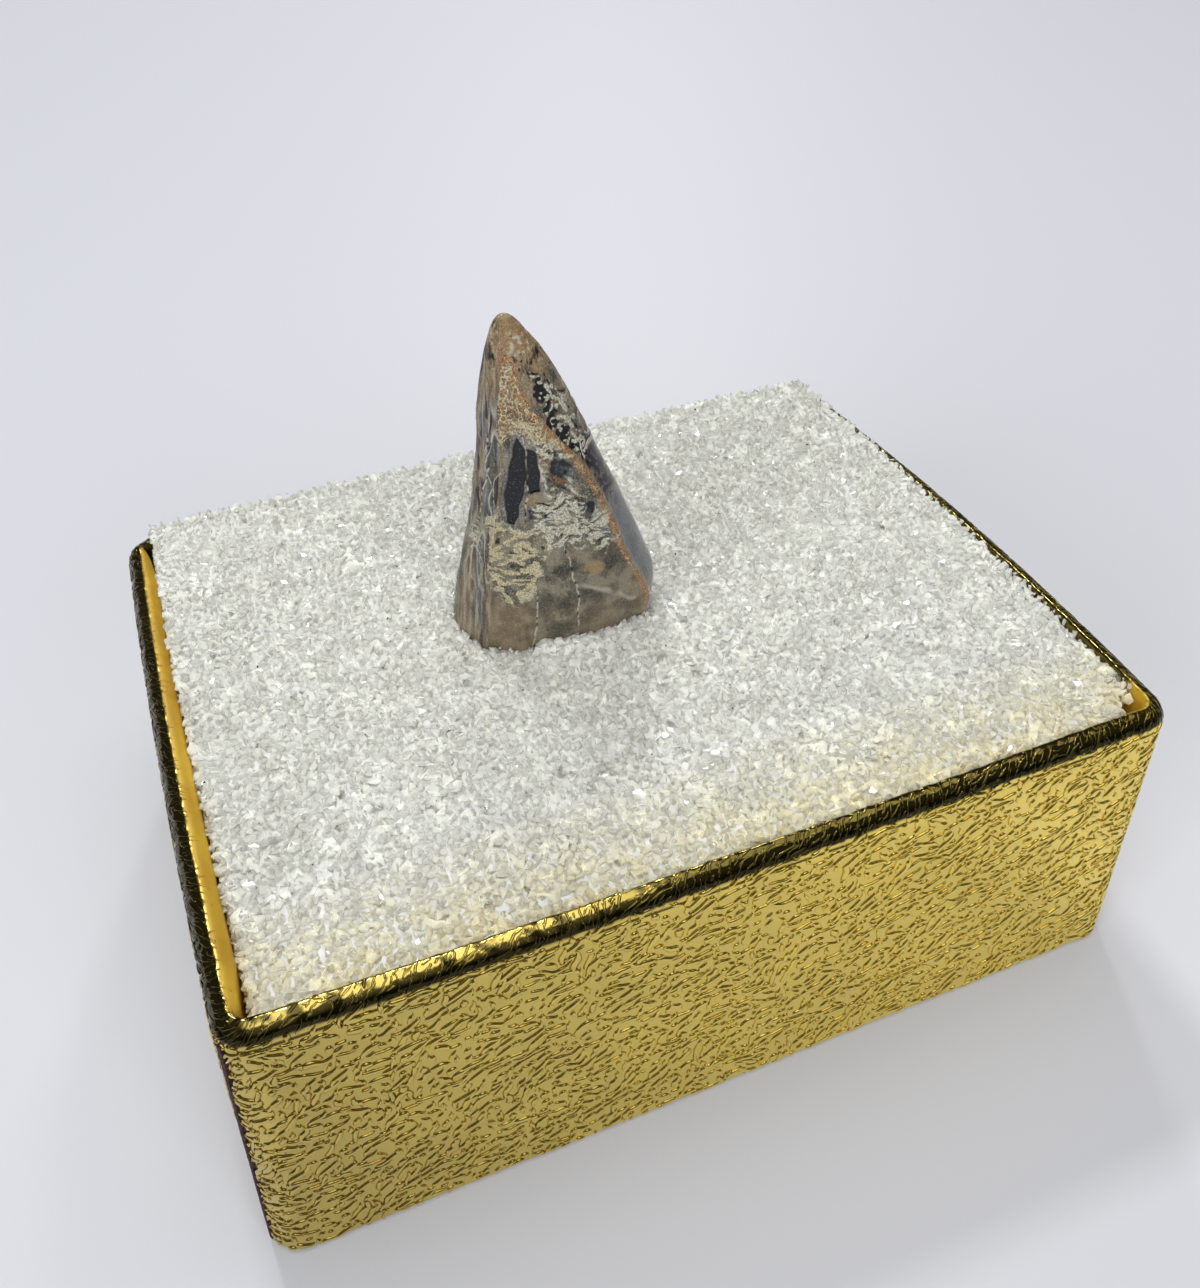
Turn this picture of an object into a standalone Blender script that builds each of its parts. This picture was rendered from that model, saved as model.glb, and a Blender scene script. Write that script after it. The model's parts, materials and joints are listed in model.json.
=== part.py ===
"""A fossil dinosaur tooth that stands on a bed of clear crystal grains in a small foil-covered card tray.

Four pieces are modelled, at their real size in metres with +Z up: the tooth, the bed of grains, the card
tray and the foil paper wrapped round it. The tray's long side runs along X and its front faces -Y. The
origin is under the middle of the whole object, on the surface that it stands on.
"""

import math
import random

import bmesh
import bpy
from mathutils import Matrix, Vector, noise

# The tray, measured over the foil at its rim
TRAY_LENGTH = 0.0540
TRAY_DEPTH = 0.0431
TRAY_HEIGHT = 0.0198

# How far the foot of each side stands out past its rim, and how far the middle of each rim bows out
LEFT_LEAN = 0.0013
RIGHT_LEAN = 0.0001
FRONT_LEAN = 0.0005
LEFT_BOW = 0.0003
RIGHT_BOW = 0.0008
FRONT_BOW = 0.0002
BACK_BOW = 0.0002

# The wall of the tray is foil paper, card and the foil paper turned in behind it
WALL = 0.0012
PAPER = 0.0002
CARD = 0.0005
PAPER_TO_CARD = 0.00015
TURN_IN = 0.0120
CORNER_RADIUS = 0.0020
TIGHTEST_CORNER = 0.0005
FOOT_RADIUS = 0.0004
RIM_DROP = 0.0011
CARD_TOP_GAP = 0.0006

# Steps round one corner, along one side and over the rolled rim
CORNER_STEPS = 4
SIDE_STEPS = 6
ROLL_STEPS = 6

# The bed of grains: clearance to its neighbours, and the height of its surface at each corner
CLEARANCE = 0.0003
LEFT_GAP = 0.0003
BED_FRONT_LEFT = 0.0190
BED_FRONT_RIGHT = 0.0195
BED_BACK_LEFT = 0.0212
BED_BACK_RIGHT = 0.0207
BED_RISE_POWER = 1.6
BED_SHOULDER = 0.0016
BED_COLUMNS = 40
BED_ROWS = 31
GRAIN_HIGH = 0.00035
GRAIN_LOW = 0.00040
GRAIN_SHIFT = 0.35
EDGE_BITE = 0.0005
OPEN_CORNER_BITE = 0.0009

# The tooth: its foot, its tip, the turn of its width against the tray, and its depth to its width
TOOTH_FOOT = 0.0190
TOOTH_TIP = 0.0397
TOOTH_TURN = math.radians(-22)
TOOTH_TIP_REACH = -0.0042
TOOTH_DEPTH_SHARE = 0.78
FOOT_CENTRE_DEPTH = 0.0013
TIP_CENTRE_DEPTH = 0.0009
ROUND_TIP_FROM = 0.96

# How far the tooth reaches to each side of its own axis: (share of its height, reach)
LEFT_REACH = (
    (0.00, -0.0092), (0.10, -0.0088), (0.25, -0.0081), (0.42, -0.0072),
    (0.60, -0.0065), (0.76, -0.0061), (0.89, -0.0055), (0.96, -0.0050),
)
RIGHT_REACH = (
    (0.00, 0.0024), (0.08, 0.0034), (0.16, 0.0037), (0.26, 0.0031), (0.42, 0.0019),
    (0.60, 0.0004), (0.76, -0.0009), (0.89, -0.0022), (0.96, -0.0032),
)

# Where the two keels run, in degrees round the section: (share of the height, angle)
RIGHT_KEEL = ((0.0, -20), (0.12, -24), (0.30, -33), (0.49, -36), (0.61, -46), (0.70, -66), (0.82, -88), (1.0, -108))
LEFT_KEEL = ((0.0, -126), (0.30, -129), (0.56, -123), (0.79, -112), (1.0, -108))
FRONT_FLATNESS = 0.40

# Relief on the tooth
RIGHT_KEEL_HEIGHT = 0.00022
LEFT_KEEL_HEIGHT = 0.00012
KEEL_WIDTH = 9.0
BEAD_HEIGHT = 0.00007
FLUTE_DEPTH = 0.00008
LUMP_HEIGHT = 0.00010
LUMP_SIZE = 0.0022
CRUST_HEIGHT = 0.00012
CRACK_ANGLE = -86
CRACK_WIDTH = 4.0
CRACK_DEPTH = 0.00035
CRACK_TOP = 0.14
LOW_EDGE = 0.00045
BROKEN_EDGE = 0.00030
TOOTH_RINGS = 40
TOOTH_SIDES = 40
POCKET_TOP = 0.26


def clear_startup_objects():
    for thing in list(bpy.data.objects):
        bpy.data.objects.remove(thing, do_unlink=True)


def new_collection(name):
    collection = bpy.data.collections.new(name)
    bpy.context.scene.collection.children.link(collection)
    return collection


def new_material(name, colour, roughness, metallic):
    material = bpy.data.materials.new(name)
    material.use_nodes = True
    shader = material.node_tree.nodes["Principled BSDF"]
    shader.inputs["Base Color"].default_value = (*colour, 1.0)
    shader.inputs["Roughness"].default_value = roughness
    shader.inputs["Metallic"].default_value = metallic
    return material


def add_object(name, mesh, collection, material=None):
    """A new object from a bmesh, which is used up."""
    data = bpy.data.meshes.new(name)
    mesh.to_mesh(data)
    mesh.free()
    thing = bpy.data.objects.new(name, data)
    collection.objects.link(thing)
    if material is not None:
        data.materials.append(material)
    return thing


def smooth_value(stops, share):
    """The value at this share of the way along a smooth curve through (share, value) stops."""
    last = len(stops) - 1
    part = 0
    while part < last - 1 and share > stops[part + 1][0]:
        part += 1
    start, end = stops[part], stops[part + 1]
    before, after = stops[max(part - 1, 0)], stops[min(part + 2, last)]
    span = end[0] - start[0]
    local = min(max((share - start[0]) / span, 0.0), 1.0)
    slope_in = (end[1] - before[1]) / (end[0] - before[0]) * span
    slope_out = (after[1] - start[1]) / (after[0] - start[0]) * span
    return (
        start[1] * (1 + 2 * local) * (1 - local) ** 2
        + slope_in * local * (1 - local) ** 2
        + end[1] * local ** 2 * (3 - 2 * local)
        + slope_out * local ** 2 * (local - 1)
    )


def bell(distance, width):
    return math.exp(-(distance / width) ** 2)


def loft(rings):
    """A skin through rings of points that run anticlockwise seen from above, open at both ends."""
    mesh = bmesh.new()
    loops = [[mesh.verts.new(point) for point in ring] for ring in rings]
    for lower, upper in zip(loops, loops[1:]):
        for index in range(len(lower)):
            following = (index + 1) % len(lower)
            mesh.faces.new((lower[index], lower[following], upper[following], upper[index]))
    return mesh, loops


# The tray's plan: one outline serves the foil, the card and the bed

def side_reach(rise):
    """Where the left, right, front and back faces stand at this share of the tray's height."""
    out = 1 - rise
    left = -TRAY_LENGTH / 2 - LEFT_LEAN * out
    right = TRAY_LENGTH / 2 + RIGHT_LEAN * out
    front = -TRAY_DEPTH / 2 - FRONT_LEAN * out
    back = TRAY_DEPTH / 2
    return left, right, front, back


def bow_out(amount, rise, share):
    """How far a side has bowed out at this share of its length."""
    return amount * min(rise, 1.0) ** 2 * 4 * share * (1 - share)


def tray_ring(height, inset):
    """Points round the tray at one height, this far inside its outer face."""
    rise = height / TRAY_HEIGHT
    left, right, front, back = side_reach(rise)
    radius = max(CORNER_RADIUS - inset, TIGHTEST_CORNER)
    middle = inset + radius
    corners = (
        Vector((right - middle, front + middle, height)),
        Vector((right - middle, back - middle, height)),
        Vector((left + middle, back - middle, height)),
        Vector((left + middle, front + middle, height)),
    )
    bows = (RIGHT_BOW, BACK_BOW, LEFT_BOW, FRONT_BOW)
    points = []
    for index, corner in enumerate(corners):
        for step in range(CORNER_STEPS + 1):
            angle = math.radians(90 * (index - 1 + step / CORNER_STEPS))
            points.append(corner + radius * Vector((math.cos(angle), math.sin(angle), 0)))
        outward = Vector((math.cos(math.radians(90 * index)), math.sin(math.radians(90 * index)), 0))
        start = points[-1]
        end = corners[(index + 1) % 4] + radius * outward
        for step in range(1, SIDE_STEPS):
            share = step / SIDE_STEPS
            points.append(start.lerp(end, share) + outward * bow_out(bows[index], rise, share))
    return points


def foil_profile():
    """(inset, height) from the underside up the outer face, over the rolled rim and down inside."""
    profile = []
    for step in range(4):
        turn = math.radians(30 * step)
        profile.append((FOOT_RADIUS * (1 - math.sin(turn)), FOOT_RADIUS * (1 - math.cos(turn))))
    profile.append((0.0, TRAY_HEIGHT / 2))
    half = WALL / 2
    for step in range(ROLL_STEPS + 1):
        turn = math.pi * step / ROLL_STEPS
        drop = RIM_DROP if turn < math.pi / 2 else half
        profile.append((half * (1 - math.cos(turn)), TRAY_HEIGHT - drop * (1 - math.sin(turn))))
    profile.append((WALL, TRAY_HEIGHT - TURN_IN))
    return profile


def make_foil_wrap(collection):
    mesh, loops = loft([tray_ring(height, inset) for inset, height in foil_profile()])
    mesh.faces.new(list(reversed(loops[0])))
    material = new_material("gold_foil", (0.62, 0.42, 0.11), 0.30, 1.0)
    wrap = add_object("foil_wrap", mesh, collection, material)
    thickness = wrap.modifiers.new("paper thickness", "SOLIDIFY")
    thickness.thickness = PAPER
    thickness.offset = -1
    thickness.use_even_offset = True
    return wrap


def make_card_tray(collection):
    outside = PAPER + PAPER_TO_CARD
    heights = (outside, TRAY_HEIGHT / 2, TRAY_HEIGHT - CARD_TOP_GAP)
    mesh, loops = loft([tray_ring(height, outside) for height in heights])
    mesh.faces.new(list(reversed(loops[0])))
    material = new_material("grey_card", (0.36, 0.31, 0.25), 0.85, 0.0)
    tray = add_object("card_tray", mesh, collection, material)
    thickness = tray.modifiers.new("card thickness", "SOLIDIFY")
    thickness.thickness = CARD
    thickness.offset = -1
    thickness.use_even_offset = True
    return tray


# The bed of grains

def bed_surface(across, along):
    """Height of the bed's surface; across runs from left to right and along from front to back."""
    climb = along ** BED_RISE_POWER
    left = BED_FRONT_LEFT + (BED_BACK_LEFT - BED_FRONT_LEFT) * climb
    right = BED_FRONT_RIGHT + (BED_BACK_RIGHT - BED_FRONT_RIGHT) * climb
    return left + (right - left) * across


def bed_point(across, along, height, bite):
    """A point of the bed's plan at one height; bite draws its edge in from the tray's inner face."""
    rise = height / TRAY_HEIGHT
    left, right, front, back = side_reach(rise)
    margin = WALL + CLEARANCE + bite
    left += margin + LEFT_GAP - bow_out(LEFT_BOW, rise, along)
    right -= margin - bow_out(RIGHT_BOW, rise, along)
    front += margin - bow_out(FRONT_BOW, rise, across)
    back -= margin - bow_out(BACK_BOW, rise, across)
    return Vector((left + (right - left) * across, front + (back - front) * along, height))


def corner_bite(across, along):
    """The corners of the bed are chipped, the front right one most."""
    if across not in (0.0, 1.0) or along not in (0.0, 1.0):
        return 0.0
    return OPEN_CORNER_BITE if (across, along) == (1.0, 0.0) else EDGE_BITE


def make_bed_block():
    """The block of grains before the tooth's pocket: a faceted top, rough shoulders and a flat underside."""
    chance = random.Random(11)
    mesh = bmesh.new()
    grid = []
    for row in range(BED_ROWS + 1):
        line = []
        for column in range(BED_COLUMNS + 1):
            across, along = column / BED_COLUMNS, row / BED_ROWS
            at_edge = column in (0, BED_COLUMNS) or row in (0, BED_ROWS)
            bite = (corner_bite(across, along) or chance.uniform(0, EDGE_BITE)) if at_edge else 0.0
            point = bed_point(across, along, bed_surface(across, along), bite)
            if not at_edge:
                step_x = TRAY_LENGTH / BED_COLUMNS * GRAIN_SHIFT
                step_y = TRAY_DEPTH / BED_ROWS * GRAIN_SHIFT
                point.x += chance.uniform(-step_x, step_x)
                point.y += chance.uniform(-step_y, step_y)
            point.z += chance.uniform(-GRAIN_LOW, GRAIN_HIGH)
            line.append(mesh.verts.new(point))
        grid.append(line)
    for row in range(BED_ROWS):
        for column in range(BED_COLUMNS):
            near_left, near_right = grid[row][column], grid[row][column + 1]
            far_left, far_right = grid[row + 1][column], grid[row + 1][column + 1]
            if chance.random() < 0.5:
                mesh.faces.new((near_left, near_right, far_right))
                mesh.faces.new((near_left, far_right, far_left))
            else:
                mesh.faces.new((near_left, near_right, far_left))
                mesh.faces.new((near_right, far_right, far_left))

    rim = [(column, 0) for column in range(BED_COLUMNS)]
    rim += [(BED_COLUMNS, row) for row in range(BED_ROWS)]
    rim += [(column, BED_ROWS) for column in range(BED_COLUMNS, 0, -1)]
    rim += [(0, row) for row in range(BED_ROWS, 0, -1)]
    floor_height = PAPER + PAPER_TO_CARD + CARD + CLEARANCE
    upper = [grid[row][column] for column, row in rim]
    for depth_step in range(2):
        lower = []
        for column, row in rim:
            across, along = column / BED_COLUMNS, row / BED_ROWS
            shoulder = bed_surface(across, along) - BED_SHOULDER
            height = floor_height if depth_step else min(shoulder, TRAY_HEIGHT - BED_SHOULDER)
            bite = CLEARANCE / 2 if corner_bite(across, along) else 0.0
            lower.append(mesh.verts.new(bed_point(across, along, height, bite)))
        for index in range(len(rim)):
            following = (index + 1) % len(rim)
            mesh.faces.new((lower[index], lower[following], upper[following], upper[index]))
        upper = lower
    centre = mesh.verts.new(bed_point(0.5, 0.5, floor_height, 0.0))
    for index in range(len(rim)):
        mesh.faces.new((upper[(index + 1) % len(rim)], upper[index], centre))
    return mesh


def make_crystal_bed(collection, pocket):
    material = new_material("crystal_grains", (0.80, 0.80, 0.76), 0.20, 0.0)
    bed = add_object("crystal_bed", make_bed_block(), collection, material)
    seat = bed.modifiers.new("pocket for the tooth", "BOOLEAN")
    seat.operation = "DIFFERENCE"
    seat.solver = "EXACT"
    seat.object = pocket
    return bed


# The tooth

def tooth_extent(share):
    """The tooth's left and right reach at this share of its height, with a round tip."""
    if share <= ROUND_TIP_FROM:
        return smooth_value(LEFT_REACH, share), smooth_value(RIGHT_REACH, share)
    left, right = LEFT_REACH[-1][1], RIGHT_REACH[-1][1]
    left_over = (1 - share) / (1 - ROUND_TIP_FROM)
    middle = (left + right) / 2 * left_over + TOOTH_TIP_REACH * (1 - left_over)
    half = (right - left) / 2 * math.sqrt(left_over)
    return middle - half, middle + half


def section_point(share, degrees):
    """A point of the tooth's oval section, its front flattened between the two keels."""
    left, right = tooth_extent(share)
    half_width = (right - left) / 2
    half_depth = half_width * TOOTH_DEPTH_SHARE
    centre = Vector((
        (left + right) / 2,
        FOOT_CENTRE_DEPTH + (TIP_CENTRE_DEPTH - FOOT_CENTRE_DEPTH) * share,
    ))

    def on_oval(angle):
        turn = math.radians(angle)
        return Vector((half_width * math.cos(turn), half_depth * math.sin(turn)))

    point = on_oval(degrees)
    keel_left = smooth_value(LEFT_KEEL, share)
    keel_right = smooth_value(RIGHT_KEEL, share)
    if keel_left < degrees < keel_right:
        along = (degrees - keel_left) / (keel_right - keel_left)
        chord = on_oval(keel_left).lerp(on_oval(keel_right), along)
        point = point.lerp(chord, FRONT_FLATNESS)
    return centre + point


def tooth_relief(share, degrees, ring):
    """How far the tooth's surface stands out from its plain section."""
    keel_left = smooth_value(LEFT_KEEL, share)
    keel_right = smooth_value(RIGHT_KEEL, share)
    fade = min((1 - share) / 0.15, 1.0)
    beads = BEAD_HEIGHT if ring % 2 else -BEAD_HEIGHT
    relief = (RIGHT_KEEL_HEIGHT + beads) * bell(degrees - keel_right, KEEL_WIDTH)
    relief += LEFT_KEEL_HEIGHT * bell(degrees - keel_left, KEEL_WIDTH)
    if degrees < keel_left:
        relief -= FLUTE_DEPTH * (0.5 + 0.5 * math.cos(math.radians(degrees - keel_left) * 12))
    if keel_left < degrees < keel_right:
        relief += CRUST_HEIGHT * bell(share - 0.36, 0.12)
    if share < CRACK_TOP:
        relief -= CRACK_DEPTH * bell(degrees - CRACK_ANGLE, CRACK_WIDTH) * (1 - share / CRACK_TOP)
    return relief * fade


def tooth_ring(share, ring, grow=0.0, plain=False):
    """Points round the tooth at one share of its height, anticlockwise seen from above."""
    points = []
    for side in range(TOOTH_SIDES):
        degrees = -180 + 360 * side / TOOTH_SIDES
        flat = section_point(share, degrees)
        turn = math.radians(degrees)
        outward = Vector((math.cos(turn) * TOOTH_DEPTH_SHARE, math.sin(turn))).normalized()
        height = TOOTH_FOOT + (TOOTH_TIP - TOOTH_FOOT) * share
        reach = grow
        if not plain:
            spot = Vector((flat.x, flat.y, height)) / LUMP_SIZE
            reach += tooth_relief(share, degrees, ring)
            reach += LUMP_HEIGHT * noise.noise(spot) * min((1 - share) / 0.1, 1.0)
            foot = max(1 - share / 0.08, 0.0)
            broken = BROKEN_EDGE * noise.noise(Vector((math.cos(turn), math.sin(turn), 3.1)) * 4)
            if -140 < degrees < CRACK_ANGLE:
                broken -= LOW_EDGE
            height += foot * broken
        flat = flat + outward * reach
        points.append(Vector((flat.x, flat.y, height)))
    return points


def turn_tooth(mesh):
    """Turns the tooth to its stance against the tray."""
    mesh.transform(Matrix.Rotation(TOOTH_TURN, 4, "Z"))


def make_tooth(collection):
    shares = [1 - (1 - ring / TOOTH_RINGS) ** 1.25 for ring in range(TOOTH_RINGS)]
    mesh, loops = loft([tooth_ring(share, ring) for ring, share in enumerate(shares)])
    tip = mesh.verts.new((TOOTH_TIP_REACH, TIP_CENTRE_DEPTH, TOOTH_TIP))
    top = loops[-1]
    for index in range(TOOTH_SIDES):
        mesh.faces.new((top[index], top[(index + 1) % TOOTH_SIDES], tip))
    mesh.faces.new(list(reversed(loops[0])))
    turn_tooth(mesh)
    material = new_material("fossil_enamel", (0.16, 0.12, 0.08), 0.30, 0.0)
    tooth = add_object("tooth", mesh, collection, material)
    tooth.data.shade_smooth()
    tooth.data.set_sharp_from_angle(angle=math.radians(50))
    return tooth


def make_pocket_cutter(collection):
    """The lower part of the tooth, grown by the clearance, which hollows its seat out of the bed."""
    shares = [POCKET_TOP * step / 4 for step in range(5)]
    rings = [tooth_ring(share, 0, grow=CLEARANCE + RIGHT_KEEL_HEIGHT, plain=True) for share in shares]
    below = LOW_EDGE + BROKEN_EDGE + CLEARANCE
    rings[0] = [point - Vector((0, 0, below)) for point in rings[0]]
    mesh, loops = loft(rings)
    mesh.faces.new(list(reversed(loops[0])))
    mesh.faces.new(loops[-1])
    turn_tooth(mesh)
    cutter = add_object("pocket_cutter", mesh, collection)
    cutter.hide_render = True
    cutter.display_type = "WIRE"
    return cutter


def move_origin_under_middle(wrap, things):
    """Moves every mesh so that the origin is under the middle of the foil, the widest piece all round."""
    spots = [vertex.co for vertex in wrap.data.vertices]
    middle = Vector((
        (min(spot.x for spot in spots) + max(spot.x for spot in spots)) / 2,
        (min(spot.y for spot in spots) + max(spot.y for spot in spots)) / 2,
        0.0,
    ))
    print("the tray's own middle line crosses its foot at", [round(value, 6) for value in middle])
    for thing in things:
        thing.data.transform(Matrix.Translation(-middle))


def main():
    clear_startup_objects()
    parts = new_collection("fossil_tooth_display")
    cutters = new_collection("cutters")
    wrap = make_foil_wrap(parts)
    make_card_tray(parts)
    make_crystal_bed(parts, make_pocket_cutter(cutters))
    make_tooth(parts)
    move_origin_under_middle(wrap, list(parts.objects) + list(cutters.objects))


main()
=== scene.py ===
# %% [markdown]
# # A fossil dinosaur tooth in its display tray
#
# The subject is the curved tooth of a meat-eating dinosaur, turned to stone. It stands upright on a bed of
# clear crystal grains, in a shallow card tray that is wrapped in embossed gold foil paper. The whole thing
# is only 56 mm long, so every detail here is a fraction of a millimetre. All lengths are in metres.
#
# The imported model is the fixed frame. Loading it first gives each solid's place, and each piece that is
# made below goes where its solid is.

# %% Load the frame
import json
import math

import bmesh
import bpy
import numpy as np
from mathutils import Matrix, Vector, noise

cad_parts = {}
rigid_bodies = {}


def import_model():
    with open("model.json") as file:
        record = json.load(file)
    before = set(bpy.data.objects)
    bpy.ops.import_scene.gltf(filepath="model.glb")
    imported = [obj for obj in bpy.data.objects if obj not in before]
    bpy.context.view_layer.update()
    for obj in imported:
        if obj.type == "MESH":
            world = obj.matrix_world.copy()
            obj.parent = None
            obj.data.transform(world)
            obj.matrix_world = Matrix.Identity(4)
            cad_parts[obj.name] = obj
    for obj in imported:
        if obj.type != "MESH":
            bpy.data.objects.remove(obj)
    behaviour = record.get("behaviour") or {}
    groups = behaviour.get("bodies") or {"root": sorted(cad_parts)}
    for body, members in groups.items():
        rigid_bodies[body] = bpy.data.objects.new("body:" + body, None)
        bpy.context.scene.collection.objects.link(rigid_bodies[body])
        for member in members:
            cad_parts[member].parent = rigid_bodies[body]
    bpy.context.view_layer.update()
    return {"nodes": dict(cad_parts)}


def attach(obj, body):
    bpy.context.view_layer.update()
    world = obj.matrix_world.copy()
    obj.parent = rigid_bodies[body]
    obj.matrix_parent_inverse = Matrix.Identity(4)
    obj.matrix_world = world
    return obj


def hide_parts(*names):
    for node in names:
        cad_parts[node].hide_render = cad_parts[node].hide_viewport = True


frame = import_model()
print("solids:", ", ".join(sorted(frame["nodes"])))

# %% [markdown]
# ## The view
#
# The camera's place, turn and lens were found from the corners and edges of the tray, so that the model
# falls on the same points of the picture as the real thing. It looks about 40 degrees down from the front.

# %% Camera
MM = 0.001
CAMERA_PLACE = (-20.137 * MM, -55.500 * MM, 67.441 * MM)
CAMERA_RIGHT = (0.92699295, -0.37359207, -0.03336224)
CAMERA_UP = (0.26503015, 0.58947533, 0.76307133)
CAMERA_BACK = (-0.26541118, -0.71620374, 0.64545264)
CAMERA_LENS = 33.742
CAMERA_SENSOR = 36.0

scene = bpy.context.scene


def add_camera():
    camera_data = bpy.data.cameras.new("front_camera")
    camera_data.lens = CAMERA_LENS
    camera_data.sensor_width = CAMERA_SENSOR
    camera_data.clip_start = 1 * MM
    camera_data.clip_end = 20.0
    camera = bpy.data.objects.new("front_camera", camera_data)
    scene.collection.objects.link(camera)
    columns = Matrix((CAMERA_RIGHT, CAMERA_UP, CAMERA_BACK)).transposed()
    camera.matrix_world = Matrix.Translation(CAMERA_PLACE) @ columns.to_4x4()
    scene.camera = camera


add_camera()
print("camera stands", [round(value / MM) for value in CAMERA_PLACE], "mm from the middle of the tray's foot")

# %% [markdown]
# ## Light
#
# Shiny foil shows what is around it, so the light is planned for the reflections. A wide soft light hangs
# overhead. The pale floor takes that light and is what the upright walls of the tray mirror, which makes
# them bright gold. The room in front and behind stays dark, so any crease that tips upwards turns dark
# brown. Two small bright lights behind give the sparks on the crystals and on the rim. Two soft ones, from
# the left and from the front, light the tooth's face, and the foil doesn't mirror them.

# %% Colours and lights
ROOM_GLOW = (0.042, 0.042, 0.045, 1.0)


def screen_colour(red, green, blue):
    """A colour as it looks on a screen, 0 to 255, turned into the linear values that a shader takes."""
    def linear(value):
        share = value / 255
        return share / 12.92 if share <= 0.04045 else ((share + 0.055) / 1.055) ** 2.4

    return (linear(red), linear(green), linear(blue), 1.0)


BED_MIDDLE = (0.0, 0.0, 20 * MM)
WHITE = (1.0, 1.0, 1.0)
WARM_WHITE = (1.0, 0.99, 0.97)
COOL_WHITE = (0.96, 0.98, 1.0)
SOFTBOXES = (                                        # name, place, width, height, watts, colour, mirrored
    ("overhead_light", (0.02, -0.03, 0.95), 1.0, 0.9, 4.5, WARM_WHITE, True),
    ("back_light", (0.0, 0.47, 0.67), 0.105, 0.08, 1.5, WHITE, True),
    ("right_back_light", (0.28, 0.68, 0.46), 0.09, 0.09, 1.0, WHITE, True),
    ("left_front_light", (-0.75, -0.45, 0.40), 0.5, 0.5, 3.6, COOL_WHITE, False),
    ("front_light", (0.15, -0.80, 0.42), 0.5, 0.4, 2.2, WHITE, False),
)


def add_softbox(name, place, width, height, power, colour, mirrored):
    """A rectangular studio light that faces the bed; shiny things show it only if it is mirrored."""
    light = bpy.data.lights.new(name, "AREA")
    light.shape = "RECTANGLE"
    light.size = width
    light.size_y = height
    light.energy = power
    light.color = colour
    box = bpy.data.objects.new(name, light)
    scene.collection.objects.link(box)
    box.location = place
    box.rotation_euler = (Vector(BED_MIDDLE) - Vector(place)).to_track_quat("-Z", "Y").to_euler()
    box.visible_glossy = mirrored


world = bpy.data.worlds.new("dim_room")
world.use_nodes = True
world.node_tree.nodes["Background"].inputs["Color"].default_value = ROOM_GLOW
scene.world = world
scene.view_settings.view_transform = "Standard"

for softbox in SOFTBOXES:
    add_softbox(*softbox)

# %% [markdown]
# ## Helpers for materials
#
# Every finish is built from nodes. One small function adds a node with its settings and links, which keeps
# the materials short to read. Fine unevenness is on every surface here, so it is a node group: it is built
# once and each material sets its size. It gives a mask for colours and a height for bump.

# %% Node helpers and the unevenness group
def add_node(tree, kind, inputs=None, **settings):
    """A node with these settings; an input given as a socket is linked, any other is set."""
    node = tree.nodes.new(kind)
    for name, value in settings.items():
        setattr(node, name, value)
    for name, value in (inputs or {}).items():
        if isinstance(value, bpy.types.NodeSocket):
            tree.links.new(value, node.inputs[name])
        else:
            node.inputs[name].default_value = value
    return node


def blend_colours(tree, factor, under, over):
    """The colour under, covered by the colour over as far as factor says; plain ones are screen values."""
    under, over = (colour if isinstance(colour, bpy.types.NodeSocket) else screen_colour(*colour)
                   for colour in (under, over))
    mix = add_node(tree, "ShaderNodeMix", {0: factor, 6: under, 7: over}, data_type="RGBA")
    return mix.outputs[2]


def calculate(tree, operation, first, second=0.0, third=0.0):
    return add_node(tree, "ShaderNodeMath", {0: first, 1: second, 2: third}, operation=operation).outputs[0]


def multiply(tree, first, second):
    return calculate(tree, "MULTIPLY", first, second)


def read_mask(tree, name):
    return add_node(tree, "ShaderNodeAttribute", attribute_name=name).outputs["Fac"]


def stretch(tree, value, low, high, to_low=0.0, to_high=1.0):
    """The value moved from one range to another and held inside it."""
    inputs = {"Value": value, "From Min": low, "From Max": high, "To Min": to_low, "To Max": to_high}
    return add_node(tree, "ShaderNodeMapRange", inputs).outputs["Result"]


def object_place(tree, axis):
    """How far along this axis a point of the object lies."""
    place = add_node(tree, "ShaderNodeTexCoord").outputs["Object"]
    return add_node(tree, "ShaderNodeSeparateXYZ", {0: place}).outputs[axis]


def make_unevenness_group():
    group = bpy.data.node_groups.new("fine_unevenness", "ShaderNodeTree")
    face = group.interface
    for label, usual in (("Waves Per Metre", 2000), ("Detail", 3), ("Lowest", 0.4), ("Highest", 0.6)):
        face.new_socket(label, in_out="INPUT", socket_type="NodeSocketFloat").default_value = usual
    for label in ("Mask", "Height"):
        face.new_socket(label, in_out="OUTPUT", socket_type="NodeSocketFloat")
    start = group.nodes.new("NodeGroupInput")
    end = group.nodes.new("NodeGroupOutput")
    place = add_node(group, "ShaderNodeTexCoord")
    waves = add_node(group, "ShaderNodeTexNoise", {
        "Vector": place.outputs["Object"],
        "Scale": start.outputs["Waves Per Metre"],
        "Detail": start.outputs["Detail"],
    })
    mask = stretch(group, waves.outputs["Fac"], start.outputs["Lowest"], start.outputs["Highest"])
    group.links.new(mask, end.inputs["Mask"])
    group.links.new(waves.outputs["Fac"], end.inputs["Height"])
    return group


unevenness = make_unevenness_group()


def add_unevenness(tree, waves, detail=3.0, lowest=0.4, highest=0.6):
    inputs = {"Waves Per Metre": waves, "Detail": detail, "Lowest": lowest, "Highest": highest}
    return add_node(tree, "ShaderNodeGroup", inputs, node_tree=unevenness)


def new_finish(name, roughness=0.5, metallic=0.0):
    """A material and its shader, with the constants set on the shader's own sockets."""
    material = bpy.data.materials.new(name)
    material.use_nodes = True
    shader = material.node_tree.nodes["Principled BSDF"]
    shader.inputs["Roughness"].default_value = roughness
    shader.inputs["Metallic"].default_value = metallic
    return material, material.node_tree, shader


def add_bump(tree, shader, height, strength, distance):
    bump = add_node(tree, "ShaderNodeBump", {"Height": height, "Strength": strength, "Distance": distance})
    tree.links.new(bump.outputs["Normal"], shader.inputs["Normal"])


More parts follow.
